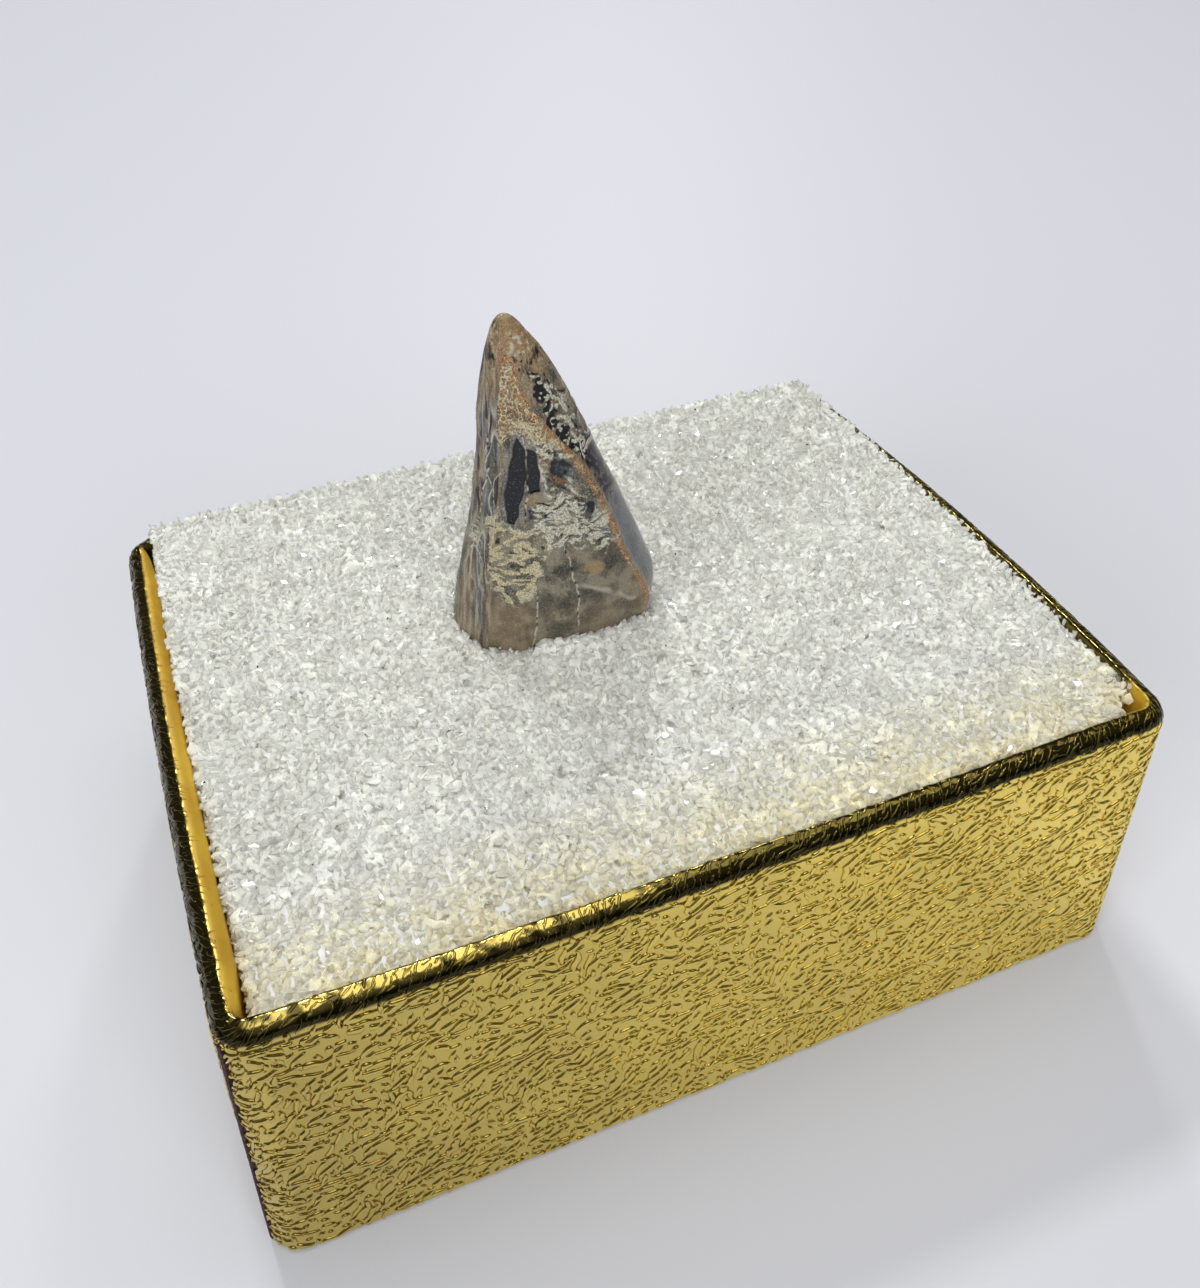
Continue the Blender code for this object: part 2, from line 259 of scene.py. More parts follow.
print("node group:", unevenness.name)

# %% [markdown]
# ## Floor
#
# The floor is a plain pale board, a little rough, much wider than the view. It isn't part of the object.

# %% Floor
FLOOR_HALF = 3.0
FLOOR_COLOUR = screen_colour(228, 230, 238)


def make_floor():
    mesh = bpy.data.meshes.new("floor")
    corners = [(-FLOOR_HALF, -FLOOR_HALF, 0), (FLOOR_HALF, -FLOOR_HALF, 0),
               (FLOOR_HALF, FLOOR_HALF, 0), (-FLOOR_HALF, FLOOR_HALF, 0)]
    mesh.from_pydata(corners, [], [(0, 1, 2, 3)])
    floor = bpy.data.objects.new("floor", mesh)
    scene.collection.objects.link(floor)
    material, tree, shader = new_finish("pale_board", roughness=0.55)
    shader.inputs["Base Color"].default_value = FLOOR_COLOUR
    add_bump(tree, shader, add_unevenness(tree, 900).outputs["Height"], 0.05, 0.1 * MM)
    mesh.materials.append(material)


make_floor()
print("floor is", 2 * FLOOR_HALF, "m wide")

# %% [markdown]
# ## The tray's outline
#
# The foil, its relief and its cut edge all lie on one surface: an outline that goes round the tray, times a
# section that goes from the underside up the wall, over the rolled rim and down inside. So each of them can
# be made flat, as paper is, and then wrapped round the tray by one rule. A flat point has a distance round
# the tray, a distance along the section and a lift off the surface.

# %% The rule that wraps flat points round the tray
TRAY_LENGTH = 54.0 * MM
TRAY_DEPTH = 43.1 * MM
TRAY_HEIGHT = 19.8 * MM
LEFT_LEAN = 1.3 * MM
RIGHT_LEAN = 0.1 * MM
FRONT_LEAN = 0.5 * MM
SIDE_BOWS = np.array([0.8, 0.2, 0.3, 0.2]) * MM      # right, back, left, front
TRAY_MIDDLE = (0.277 * MM, 0.156 * MM)
CORNER_RADIUS = 2.0 * MM
TIGHTEST_CORNER = 0.5 * MM
WALL = 1.2 * MM
FOOT_RADIUS = 0.4 * MM
TURN_IN = 12.0 * MM
PAPER = 0.2 * MM

CORNER_ARC = CORNER_RADIUS * math.pi / 2
LONG_SIDE = TRAY_LENGTH - 2 * CORNER_RADIUS
SHORT_SIDE = TRAY_DEPTH - 2 * CORNER_RADIUS
SECTION_LENGTHS = np.array([CORNER_ARC, SHORT_SIDE, CORNER_ARC, LONG_SIDE] * 2)
SECTION_STARTS = np.concatenate([[0.0], np.cumsum(SECTION_LENGTHS)])
PERIMETER = SECTION_STARTS[-1]


def side_reach(rise):
    """Where the left, right, front and back faces stand at this share of the tray's height."""
    out = 1 - rise
    left = -TRAY_LENGTH / 2 - LEFT_LEAN * out
    right = TRAY_LENGTH / 2 + RIGHT_LEAN * out
    front = -TRAY_DEPTH / 2 - FRONT_LEAN * out
    back = TRAY_DEPTH / 2 + 0 * out                  # the back face is upright
    return left, right, front, back


def bow_out(amount, rise, share):
    """How far a side has bowed out at this share of its length."""
    return amount * np.minimum(rise, 1.0) ** 2 * 4 * share * (1 - share)


def tray_point(around, height, inset):
    """Points this far round the tray from the start of its front right corner, at a height and an inset."""
    around = np.mod(around, PERIMETER)
    section = np.clip(np.searchsorted(SECTION_STARTS, around, side="right") - 1, 0, 7)
    share = (around - SECTION_STARTS[section]) / SECTION_LENGTHS[section]
    corner = section // 2
    turning = section % 2 == 0
    rise = height / TRAY_HEIGHT
    left, right, front, back = side_reach(rise)
    radius = np.maximum(CORNER_RADIUS - inset, TIGHTEST_CORNER)
    middle = inset + radius

    def centre(index):
        x = np.where((index == 0) | (index == 1), right - middle, left + middle)
        y = np.where((index == 0) | (index == 3), front + middle, back - middle)
        return x, y

    start_x, start_y = centre(corner)
    end_x, end_y = centre((corner + 1) % 4)
    along_side = np.where(turning, 0.0, share)
    angle = np.radians(90 * (corner - 1 + np.where(turning, share, 1.0)))
    reach = radius + np.where(turning, 0.0, bow_out(SIDE_BOWS[corner], rise, share))
    x = start_x + (end_x - start_x) * along_side + reach * np.cos(angle) + TRAY_MIDDLE[0]
    y = start_y + (end_y - start_y) * along_side + reach * np.sin(angle) + TRAY_MIDDLE[1]
    return np.stack([x, y, height + 0 * x], axis=-1)


print(f"the tray is {PERIMETER / MM:.1f} mm round at its rim")

# %% [markdown]
# The foil's section starts under the tray, turns round the foot, climbs the wall and rolls over the rim. The
# roll is a row of stops, steep near the wall and flatter towards the crest. Inside, the margin stands off
# the wall a little, most of all at the left, where it has come loose.

# %% The foil's section
FOOT_POINTS = 16
FOIL_STOPS = (                                       # inset and depth below the rim, in millimetres
    (0.00, 1.25), (0.015, 1.08), (0.04, 0.92), (0.09, 0.75), (0.17, 0.57), (0.28, 0.40), (0.41, 0.26),
    (0.56, 0.15), (0.74, 0.07), (0.92, 0.02), (1.08, 0.04), (1.16, 0.14), (1.20, 0.60),
)
CREST_STOP = 9


def foil_section():
    """Inset and height along the foil's section, from the underside to the end of its turn-in."""
    quarter = np.linspace(0, math.pi / 2, FOOT_POINTS)
    stops = np.array(FOIL_STOPS) * MM
    insets = [FOOT_RADIUS * (1 - np.sin(quarter)), stops[:, 0], [WALL]]
    heights = [FOOT_RADIUS * (1 - np.cos(quarter)), TRAY_HEIGHT - stops[:, 1], [TRAY_HEIGHT - TURN_IN]]
    return np.concatenate(insets), np.concatenate(heights)


SECTION_INSET, SECTION_HEIGHT = foil_section()
SECTION_ALONG = np.concatenate([[0.0], np.cumsum(np.hypot(np.diff(SECTION_INSET), np.diff(SECTION_HEIGHT)))])
WALL_TOP = SECTION_ALONG[FOOT_POINTS]
RIM_CREST = SECTION_ALONG[FOOT_POINTS + CREST_STOP]
RIM_END = SECTION_ALONG[FOOT_POINTS + len(FOIL_STOPS) - 1]
FOIL_END = SECTION_ALONG[-1]
LOOSE_LEFT = 0.64 * MM
LOOSE_ELSEWHERE = 0.10 * MM
LOOSE_OVERLAP = 1.5 * MM
LOOSE_FADE = 4 * MM
LEFT_SIDE_MIDDLE = (SECTION_STARTS[5] + SECTION_STARTS[6]) / 2
SLOPE_STEP = 0.06 * MM


def looseness(around, along):
    """How far the turned-in margin stands off the wall: it is looser on the left side."""
    off_left = np.abs(np.mod(around, PERIMETER) - LEFT_SIDE_MIDDLE)
    on_left = np.clip((SHORT_SIDE / 2 + LOOSE_OVERLAP - off_left) / LOOSE_FADE, 0, 1)
    amount = LOOSE_ELSEWHERE + (LOOSE_LEFT - LOOSE_ELSEWHERE) * on_left
    return amount * np.clip((along - RIM_CREST) / (RIM_END - RIM_CREST), 0, 1) ** 1.3


def on_section(along):
    """Inset and height at these distances along the foil's section."""
    return np.interp(along, SECTION_ALONG, SECTION_INSET), np.interp(along, SECTION_ALONG, SECTION_HEIGHT)


def wrap_round_tray(around, along, lift):
    """Flat points of the foil, taken to their places on the tray."""
    inset, height = on_section(along)
    inset_before, height_before = on_section(along - SLOPE_STEP)
    inset_after, height_after = on_section(along + SLOPE_STEP)
    inset_step = inset_after - inset_before
    height_step = height_after - height_before
    size = np.maximum(np.hypot(inset_step, height_step), 1e-9)
    inset = inset + looseness(around, along)
    return tray_point(around, height + lift * inset_step / size, inset - lift * height_step / size)


print(f"the foil is {PERIMETER / MM:.1f} mm round and {FOIL_END / MM:.1f} mm from its foot to its end")

# %% [markdown]
# ## Helpers for meshes
#
# Meshes are made from arrays of points. Smooth noise moves their points, faces are laid over a grid of
# them, and masks are kept at them.

# %% Helpers for meshes
def noise_field(points, size, offset=0.0):
    """Smooth noise from -1 to 1 at each point; size is the length of one wave."""
    scaled = (np.asarray(points) / size + offset).tolist()
    return np.array([noise.noise(point) for point in scaled])


def object_from_arrays(name, points, faces, material, smooth=True):
    mesh = bpy.data.meshes.new(name)
    mesh.from_pydata(np.asarray(points).tolist(), [], [tuple(face) for face in faces])
    mesh.materials.append(material)
    mesh.shade_smooth() if smooth else mesh.shade_flat()
    piece = bpy.data.objects.new(name, mesh)
    scene.collection.objects.link(piece)
    return piece


def grid_faces(rows, columns, closed=False):
    """Faces of a grid whose points run row by row; a closed grid joins its last column to its first."""
    width = columns if closed else columns - 1
    return [
        (row * columns + column, row * columns + (column + 1) % columns,
         (row + 1) * columns + (column + 1) % columns, (row + 1) * columns + column)
        for row in range(rows - 1) for column in range(width)
    ]


def apply_modifiers(piece):
    """The piece's mesh as its modifiers leave it, with the modifiers gone."""
    graph = bpy.context.evaluated_depsgraph_get()
    mesh = bpy.data.meshes.new_from_object(piece.evaluated_get(graph))
    old = piece.data
    piece.modifiers.clear()
    piece.data = mesh
    bpy.data.meshes.remove(old)
    mesh.name = piece.name
    return piece


def store_mask(piece, name, values):
    """Keeps one number at each point of the mesh, under a name that a material reads."""
    layer = piece.data.attributes.new(name, "FLOAT", "POINT")
    layer.data.foreach_set("value", np.asarray(values, np.float32))


def report_triangles(pieces):
    for piece in pieces:
        print(piece.name, sum(len(face.vertices) - 2 for face in piece.data.polygons), "triangles")


print("a grid of 3 by 3 points has", len(grid_faces(3, 3)), "faces")

# %% [markdown]
# ## Gold finish
#
# Gold foil paper is a thin bright metal on paper. It is a metal shader, slightly rough, duller in patches,
# and duller to the left as painted shade. Two masks change it: the rim's roll is painted nearly black, a
# painted reflection of the dark room, with painted glints left gold at the front left of its crest, and the
# turned-in margin is matt ochre paper.

# %% Gold finish
def make_gold_finish():
    """Metallised paper: a gold mirror, slightly rough, duller in patches and, as painted shade, to the left.
    """
    material, tree, shader = new_finish("gold_foil", metallic=1.0)
    fine = add_unevenness(tree, 9000, 4.0)
    broad = add_unevenness(tree, 260, 2.0, 0.35, 0.65)
    # Duller to the left is painted shade, for the darker floor that the left of the foil mirrors.
    to_left = stretch(tree, object_place(tree, "X"), -26 * MM, 8 * MM, 0.75, 0.0)
    patches_and_painted_shade = calculate(tree, "MULTIPLY_ADD", broad.outputs["Mask"], 0.15, to_left)
    colour = blend_colours(tree, patches_and_painted_shade, (255, 228, 116), (197, 175, 98))
    # The rim's mask paints it nearly black: a painted reflection of the dark room, with painted glints left
    # gold.
    rolled = read_mask(tree, "rolled")
    colour = blend_colours(tree, rolled, colour, (52, 47, 25))
    margin = read_mask(tree, "turned_in")
    ochre = blend_colours(tree, broad.outputs["Mask"], (200, 156, 36), (226, 184, 52))
    colour = blend_colours(tree, margin, colour, ochre)
    tree.links.new(colour, shader.inputs["Base Color"])
    roughness = stretch(tree, fine.outputs["Mask"], 0, 1, 0.14, 0.22)
    roughness = calculate(tree, "MULTIPLY_ADD", rolled, -0.06, roughness)
    tree.links.new(calculate(tree, "MULTIPLY_ADD", margin, 0.4, roughness), shader.inputs["Roughness"])
    tree.links.new(stretch(tree, margin, 0, 1, 0.94, 0.1), shader.inputs["Metallic"])
    add_bump(tree, shader, fine.outputs["Height"], 0.25, 0.02 * MM)
    return material


gold_finish = make_gold_finish()
print("finish:", gold_finish.name)

# %% [markdown]
# ## Foil paper
#
# The paper covers the underside, comes up the four walls, rolls over the rim and is turned in behind the
# walls. A sheet is best made as a grid, wrapped round the tray row by row, and then given the thickness of
# paper. It is made here as two such grids, because the crumpled rim needs a finer one than the walls. Small
# dents from the glue and the card under it are added to the lift before wrapping.

# %% Foil paper's sheet
WALL_LIFT = -0.120 * MM
RIM_LIFT = -0.045 * MM
RIM_RISE = 0.30 * MM
RIM_STEP = 0.12 * MM
LEAST_DEPTH = 0.004 * MM
RIM_COLUMNS = 1500
FOIL_COLUMNS = 540
DENT = 0.020 * MM
DENT_SIZE = 2.6 * MM
RIM_CRUMPLE = 0.050 * MM
RIM_CRUMPLE_SIZE = 0.75 * MM
RIM_CREASE = 0.028 * MM
RIM_CREASE_SIZE = 0.34 * MM
# Painted reflection on the rim: its painted dark band, and where painted glints and gleam leave the gold
# bright.
PAINTED_GLINT_START = SECTION_STARTS[7] - 0.5 * CORNER_ARC
PAINTED_GLINT_END = SECTION_STARTS[7] + 23 * MM
GLINT_SIZE = 0.55 * MM
CREST_GLEAM = 0.14
DARK_START = 0.30 * MM
DARK_RAGGED = 0.12 * MM
DARK_RAGGED_SIZE = 0.7 * MM
DARK_FADE = 0.10 * MM
PAINTED_GLINT_FADE_IN = 2 * MM
PAINTED_GLINT_FADE_OUT = 9 * MM
GLINT_SHARE = 0.22
MARGIN_STEP = 0.05 * MM


def on_rim(along):
    """0 on the wall and 1 on the rim, over one short step."""
    return np.clip((along - WALL_TOP - RIM_RISE) / RIM_STEP, 0, 1)


def rim_crumple(points):
    """The rolled rim is crumpled at two sizes."""
    broad = RIM_CRUMPLE * noise_field(points, RIM_CRUMPLE_SIZE, 7.3)
    return broad + RIM_CREASE * noise_field(points, RIM_CREASE_SIZE, 2.9)


def mark_foil(piece, around, along, dark=1.0):
    """Stores the rim's painted dark and its painted glints, which are painted reflection, and the matt
    turned-in margin.
    """
    around = np.where(around > PERIMETER - 1e-9, around - 1e-9, around)
    on_crest = np.clip((along - WALL_TOP - 0.50 * (RIM_CREST - WALL_TOP)) / (0.25 * MM), 0, 1)
    ragged = np.column_stack([around, 0 * along, 0 * along])
    dark_start = WALL_TOP + DARK_START + DARK_RAGGED * noise_field(ragged, DARK_RAGGED_SIZE)
    rolled = np.clip((along - dark_start) / DARK_FADE, 0, 1) * dark * (1 - CREST_GLEAM * on_crest)
    # Along the front left of the crest, painted glints: noise lifts the painted dark and leaves the gold
    # bright.
    shiny = np.clip((around - PAINTED_GLINT_START) / PAINTED_GLINT_FADE_IN, 0, 1)
    shiny = shiny * np.clip((PAINTED_GLINT_END - around) / PAINTED_GLINT_FADE_OUT, 0, 1)
    glints = np.column_stack([around + 0.8 * along, 0.45 * along, 0 * along])
    shiny = shiny * np.clip((noise_field(glints, GLINT_SIZE) + GLINT_SHARE) / 0.2, 0, 1)
    rolled = rolled * (1 - shiny * on_crest) + (1 - dark) * shiny * on_crest
    at_left = np.clip((SHORT_SIDE / 2 + 1.2 * MM - np.abs(around - LEFT_SIDE_MIDDLE)) / (1.0 * MM), 0, 1)
    off_corner_start = np.minimum(around, PERIMETER - around + CORNER_ARC)
    at_corner = np.clip((CORNER_ARC + 1.5 * MM - off_corner_start) / MM, 0, 1)
    margin = np.clip((along - RIM_CREST - MARGIN_STEP) / RIM_STEP, 0, 1) * np.maximum(at_left, at_corner)
    store_mask(piece, "rolled", rolled * (1 - margin))
    store_mask(piece, "turned_in", margin)


def make_foil_sheet(name, along, columns, closed_below):
    """A part of the foil, all round the tray, between these distances along its section."""
    around = np.arange(columns) / columns * PERIMETER
    around, along = np.meshgrid(around, along)
    around, along = around.ravel(), along.ravel()
    flat = wrap_round_tray(around, along, np.zeros(around.size))
    on_roll = on_rim(along) * np.clip((RIM_END + 0.5 * MM - along) / (0.5 * MM), 0, 1)
    at_foot = np.clip(along / (0.6 * MM), 0, 1)
    lift = WALL_LIFT + (RIM_LIFT - WALL_LIFT) * on_roll + DENT * noise_field(flat, DENT_SIZE) * at_foot
    lift += on_roll * rim_crumple(flat)
    lift = np.minimum(lift, -LEAST_DEPTH) * at_foot
    faces = grid_faces(len(along) // columns, columns, closed=True)
    if closed_below:
        faces.append(tuple(reversed(range(columns))))
    sheet = object_from_arrays(name, wrap_round_tray(around, along, lift), faces, gold_finish)
    mark_foil(sheet, around, along)
    thickness = sheet.modifiers.new("paper", "SOLIDIFY")
    thickness.thickness = PAPER - 0.05 * MM
    thickness.offset = -1
    return apply_modifiers(sheet)


foil_sheet = make_foil_sheet("foil_sheet", np.concatenate([
    np.linspace(0, FOOT_RADIUS * math.pi / 2, 5)[:-1],
    np.linspace(FOOT_RADIUS * math.pi / 2, WALL_TOP + 0.05 * MM, 36),
]), FOIL_COLUMNS, True)
foil_rim = make_foil_sheet("foil_rim", np.concatenate([
    np.linspace(WALL_TOP - 0.02 * MM, RIM_CREST, 15)[:-1],
    np.linspace(RIM_CREST, RIM_END, 8)[:-1],
    np.linspace(RIM_END, FOIL_END, 3),
]), RIM_COLUMNS, False)
print("foil:", len(foil_sheet.data.polygons), "and", len(foil_rim.data.polygons), "faces")

# %% [markdown]
# ## Relief of the foil
#
# The foil is embossed with short wavy lines, about a fifth of a millimetre wide and finer on the rim.
# There are about ten thousand of them, so they are scattered by Geometry Nodes: a few lines made one by one
# are placed on points that keep their distance, turned by a slow noise so that neighbours flow together, and
# bent by a finer one. That happens on flat paper, and the result is then wrapped round the tray like the
# sheet. A flank that tips up mirrors the dark room, so each line shows dark, and on the rim the lines also
# take most of the rim's painted dark, which is painted reflection.

# %% Lines that are embossed
LINE_UPPER_FLANK = 0.200 * MM
LINE_LOWER_FLANK = 0.220 * MM
LINE_HEIGHT = 0.108 * MM
LINE_SINK = 0.012 * MM
LINE_BLUNTNESS = 0.20
CREST_UPPER = 0.12                                   # the crest's two edges, as shares of the flanks
CREST_LOWER = 0.30
LINE_RINGS = 7
LINE_BENDS = ((0.0, 0.25), (0.42, 0.0), (-0.42, 0.1), (0.1, 0.72), (-0.1, -0.72))    # as a C, as an S


def make_embossed_line(name, bend, twist):
    """A closed spindle of unit length along X, bent like a C or an S, standing on Z = 0."""
    points = [(-0.5, -bend * 0.25 - twist * 0.12, -LINE_SINK)]
    faces = []
    for ring in range(LINE_RINGS):
        share = (ring + 0.6) / (LINE_RINGS + 0.2)
        x = share - 0.5
        y = bend * (0.25 - 4 * x * x * 0.25) - bend * 0.25 + twist * x ** 3 * 4
        swell = (4 * share * (1 - share)) ** LINE_BLUNTNESS
        upper = LINE_UPPER_FLANK * swell
        lower = LINE_LOWER_FLANK * swell
        top = LINE_HEIGHT * swell
        points += [(x, y - lower, -LINE_SINK), (x, y + upper, -LINE_SINK),
                   (x, y + upper * CREST_UPPER, top), (x, y - lower * CREST_LOWER, top)]
    points.append((0.5, -bend * 0.25 + twist * 0.5, -LINE_SINK))
    last = len(points) - 1
    for side in range(4):
        following = (side + 1) % 4
        faces.append((0, 1 + following, 1 + side))
        faces.append((last, last - 4 + side, last - 4 + following))
        for ring in range(LINE_RINGS - 1):
            start = 1 + ring * 4
            faces.append((start + side, start + following, start + 4 + following, start + 4 + side))
    return object_from_arrays(name, points, faces, gold_finish)


def new_collection(name):
    collection = bpy.data.collections.new(name)
    scene.collection.children.link(collection)
    return collection


def move_to_collection(thing, collection):
    for holder in list(thing.users_collection):
        holder.objects.unlink(thing)
    collection.objects.link(thing)


line_shapes = new_collection("line_shapes")
for number, (bend, twist) in enumerate(LINE_BENDS):
    move_to_collection(make_embossed_line(f"line_shape_{number}", bend * MM, twist * MM), line_shapes)

# %% [markdown]
# The tree is written out node by node. Its steps are small functions, because the grains of the bed are
# scattered by the same ones: points that keep their distance, a shape on each, and a finish at the end.

# %% The tree that scatters the lines
FLOW_WAVES = 330.0
FLOW_JITTER = 0.40
LENGTH_POWER = 1.7
WIDTH_LEAST, WIDTH_MOST = 0.75, 1.2
BEND_WAVES = 900.0
DENSE_LINES = 5.0e7


def new_geometry_tree(name, labels):
    """A Geometry Nodes tree with a geometry in and out, and these further inputs by their kinds."""
    tree = bpy.data.node_groups.new(name, "GeometryNodeTree")
    tree.interface.new_socket("Geometry", in_out="INPUT", socket_type="NodeSocketGeometry")
    for kind in ("Collection", "Float", "Int", "Material"):
        for label in labels.get(kind, ()):
            tree.interface.new_socket(label, in_out="INPUT", socket_type="NodeSocket" + kind)
    tree.interface.new_socket("Geometry", in_out="OUTPUT", socket_type="NodeSocketGeometry")
    start = tree.nodes.new("NodeGroupInput")
    end = tree.nodes.new("NodeGroupOutput")
    return tree, start.outputs, end.inputs["Geometry"]


def random_number(tree, low, high, **inputs):
    return add_node(tree, "FunctionNodeRandomValue", {2: low, 3: high, **inputs}).outputs[1]


def spaced_points(tree, given, density):
    """Points on the faces that keep their distance; the density is far above what the distance allows."""
    return add_node(tree, "GeometryNodeDistributePointsOnFaces", {
        "Mesh": given["Geometry"], "Distance Min": given["Spacing"], "Density Max": density,
        "Seed": given["Seed"],
    }, distribute_method="POISSON").outputs


def place_shapes(tree, shapes, points, turn, size, count, seed):
    """One of the shapes on each point, picked at random, as real meshes."""
    members = add_node(tree, "GeometryNodeCollectionInfo", {
        "Collection": shapes, "Separate Children": True, "Reset Children": True})
    pick = add_node(tree, "FunctionNodeRandomValue", {4: 0, 5: count - 1, "Seed": seed}, data_type="INT")
    placed = add_node(tree, "GeometryNodeInstanceOnPoints", {
        "Points": points, "Instance": members.outputs[0], "Pick Instance": True,
        "Instance Index": pick.outputs[2], "Rotation": turn, "Scale": size})
    return add_node(tree, "GeometryNodeRealizeInstances", {"Geometry": placed.outputs[0]}).outputs[0]


def end_with_finish(tree, geometry, given, result):
    finish = add_node(tree, "GeometryNodeSetMaterial", {"Geometry": geometry, "Material": given["Finish"]})
    tree.links.new(finish.outputs[0], result)


def vector_math(tree, operation, first, second=None, scale=None):
    inputs = {0: first}
    if second is not None:
        inputs[1] = second
    if scale is not None:
        inputs["Scale"] = scale
    return add_node(tree, "ShaderNodeVectorMath", inputs, operation=operation).outputs[0]


def make_line_scatter_tree():
    tree, given, result = new_geometry_tree("embossed_lines", {
        "Collection": ("Lines",),
        "Float": ("Spacing", "Shortest", "Longest", "Tilt", "Wander", "Bend", "Width"),
        "Int": ("Seed",),
        "Material": ("Finish",),
    })
    points = spaced_points(tree, given, DENSE_LINES)["Points"]
    place = add_node(tree, "GeometryNodeInputPosition").outputs[0]
    flow = add_node(tree, "ShaderNodeTexNoise", {"Vector": place, "Scale": FLOW_WAVES, "Detail": 1.0})
    flow_turn = calculate(tree, "SUBTRACT", flow.outputs["Fac"], 0.5)
    turn = calculate(tree, "MULTIPLY_ADD", flow_turn, given["Wander"], given["Tilt"])
    turn = calculate(tree, "ADD", turn, random_number(tree, -FLOW_JITTER, FLOW_JITTER, Seed=given["Seed"]))
    spin = add_node(tree, "ShaderNodeCombineXYZ", {"Z": turn}).outputs[0]
    index = add_node(tree, "GeometryNodeInputIndex").outputs[0]
    chance = calculate(tree, "POWER", random_number(tree, 0.0, 1.0, ID=index, Seed=5), LENGTH_POWER)
    length = stretch(tree, chance, 0.0, 1.0, given["Shortest"], given["Longest"])
    width = multiply(tree, random_number(tree, WIDTH_LEAST, WIDTH_MOST, Seed=9), given["Width"])
    size = add_node(tree, "ShaderNodeCombineXYZ", {"X": length, "Y": width, "Z": given["Width"]}).outputs[0]
    lines = place_shapes(tree, given["Lines"], points, spin, size, len(LINE_BENDS), 3)
    wave = add_node(tree, "ShaderNodeTexNoise", {"Vector": place, "Scale": BEND_WAVES, "Detail": 0.5})
    centred = vector_math(tree, "SUBTRACT", wave.outputs["Color"], (0.5, 0.5, 0.5))
    in_plane = vector_math(tree, "MULTIPLY", centred, (1.0, 1.0, 0.0))
    shift = vector_math(tree, "SCALE", in_plane, scale=given["Bend"])
    bent = add_node(tree, "GeometryNodeSetPosition", {"Geometry": lines, "Offset": shift})
    final = add_node(tree, "GeometryNodeRealizeInstances", {"Geometry": bent.outputs[0]})
    end_with_finish(tree, final.outputs[0], given, result)
    return tree


line_scatter = make_line_scatter_tree()
print("tree:", line_scatter.name, "with", len(line_scatter.nodes), "nodes")

# %% [markdown]
# Each wall gets a flat card of its own, and the rim a narrow one with finer, steeper lines. The lines of a
# wall end just under the rim's roll, where the rim's own begin.

# %% Scatter the lines and wrap them
def run_tree(piece, tree, values):
    """Runs a tree on a piece and turns the result into a plain mesh."""
    modifier = piece.modifiers.new(tree.name, "NODES")
    modifier.node_group = tree
    for item in tree.interface.items_tree:
        if item.item_type == "SOCKET" and item.in_out == "INPUT" and item.name in values:
            modifier[item.identifier] = values[item.name]
    return apply_modifiers(piece)


def mesh_points(mesh):
    points = np.empty(len(mesh.vertices) * 3, np.float32)
    mesh.vertices.foreach_get("co", points)
    return points.reshape(-1, 3).astype(float)


def set_mesh_points(mesh, points):
    mesh.vertices.foreach_set("co", np.asarray(points, np.float32).ravel())
    mesh.update()


# How much of the rim's painted dark, a painted reflection of the dark room, the embossed lines take.
LINES_PAINTED_DARK = 0.92
LINES_LOWEST = 0.3 * MM
LINES_BEYOND_RIM = 0.4 * MM


def emboss(name, start, end, low, high, seed, values):
    """Embossed lines on the part of the foil between two distances round the tray and along its section."""
    corners = [(start, low, 0), (end, low, 0), (end, high, 0), (start, high, 0)]
    piece = object_from_arrays(name, corners, [(0, 1, 2, 3)], gold_finish)
    run_tree(piece, line_scatter, {"Lines": line_shapes, "Seed": seed, "Finish": gold_finish, **values})
    points = mesh_points(piece.data)
    along = np.clip(points[:, 1], LINES_LOWEST, RIM_END + LINES_BEYOND_RIM)
    base = WALL_LIFT + (RIM_LIFT - WALL_LIFT) * on_rim(along)
    flat = wrap_round_tray(points[:, 0], along, base)
    crumple = on_rim(along) * rim_crumple(flat)
    lift = base + crumple + DENT * noise_field(flat, DENT_SIZE) + points[:, 2]
    set_mesh_points(piece.data, wrap_round_tray(points[:, 0], along, np.minimum(lift, -LEAST_DEPTH)))
    piece.data.shade_smooth()
    mark_foil(piece, points[:, 0], along, LINES_PAINTED_DARK)
    return piece


WALL_LINES = {"Spacing": 0.51 * MM, "Shortest": 0.35 * MM, "Longest": 1.5 * MM, "Tilt": math.radians(20),
              "Wander": 3.8, "Bend": 0.68 * MM, "Width": 1.0}
RIM_LINES = {"Spacing": 0.31 * MM, "Shortest": 0.4 * MM, "Longest": 1.3 * MM, "Tilt": math.radians(50),
             "Wander": 3.0, "Bend": 0.5 * MM, "Width": 0.34}
WALL_LINES_LOW = 0.55 * MM
WALL_LINES_HIGH = WALL_TOP + 0.34 * MM
RIM_LINES_LOW = WALL_TOP + 0.42 * MM
RIM_LINES_HIGH = RIM_CREST + 0.05 * MM
CORNER_MIDDLES = SECTION_STARTS[::2] + 0.5 * CORNER_ARC      # front right, back right, back left, front left
RIM_SEED = 17

foil_pieces = [foil_sheet, foil_rim]
for seed, side in enumerate(("right", "back", "left", "front")):
    foil_pieces.append(emboss(f"foil_lines_{side}", CORNER_MIDDLES[seed], CORNER_MIDDLES[seed + 1],
                              WALL_LINES_LOW, WALL_LINES_HIGH, seed, WALL_LINES))
foil_pieces.append(emboss("foil_lines_rim", 0.0, PERIMETER, RIM_LINES_LOW, RIM_LINES_HIGH,
                          RIM_SEED, RIM_LINES))
report_triangles(foil_pieces)

# %% [markdown]
# ## Cut edge of the foil
#
# At the front left corner the foil of the left side ends, and the raw paper edge shows as a dark purple
# brown line from the rim to the foot, with small burrs. It is a narrow strip of its own, wrapped like the
# foil, with ragged sides.

# %% Cut edge
EDGE_MIDDLE = SECTION_STARTS[6] + CORNER_ARC * 0.16
EDGE_HALF = 0.14 * MM
EDGE_SHIFT = 0.55 * MM
EDGE_ROWS = 150
EDGE_LOW = 0.5 * MM
EDGE_HIGH = WALL_TOP + 0.02 * MM
EDGE_RAISE = 0.05 * MM


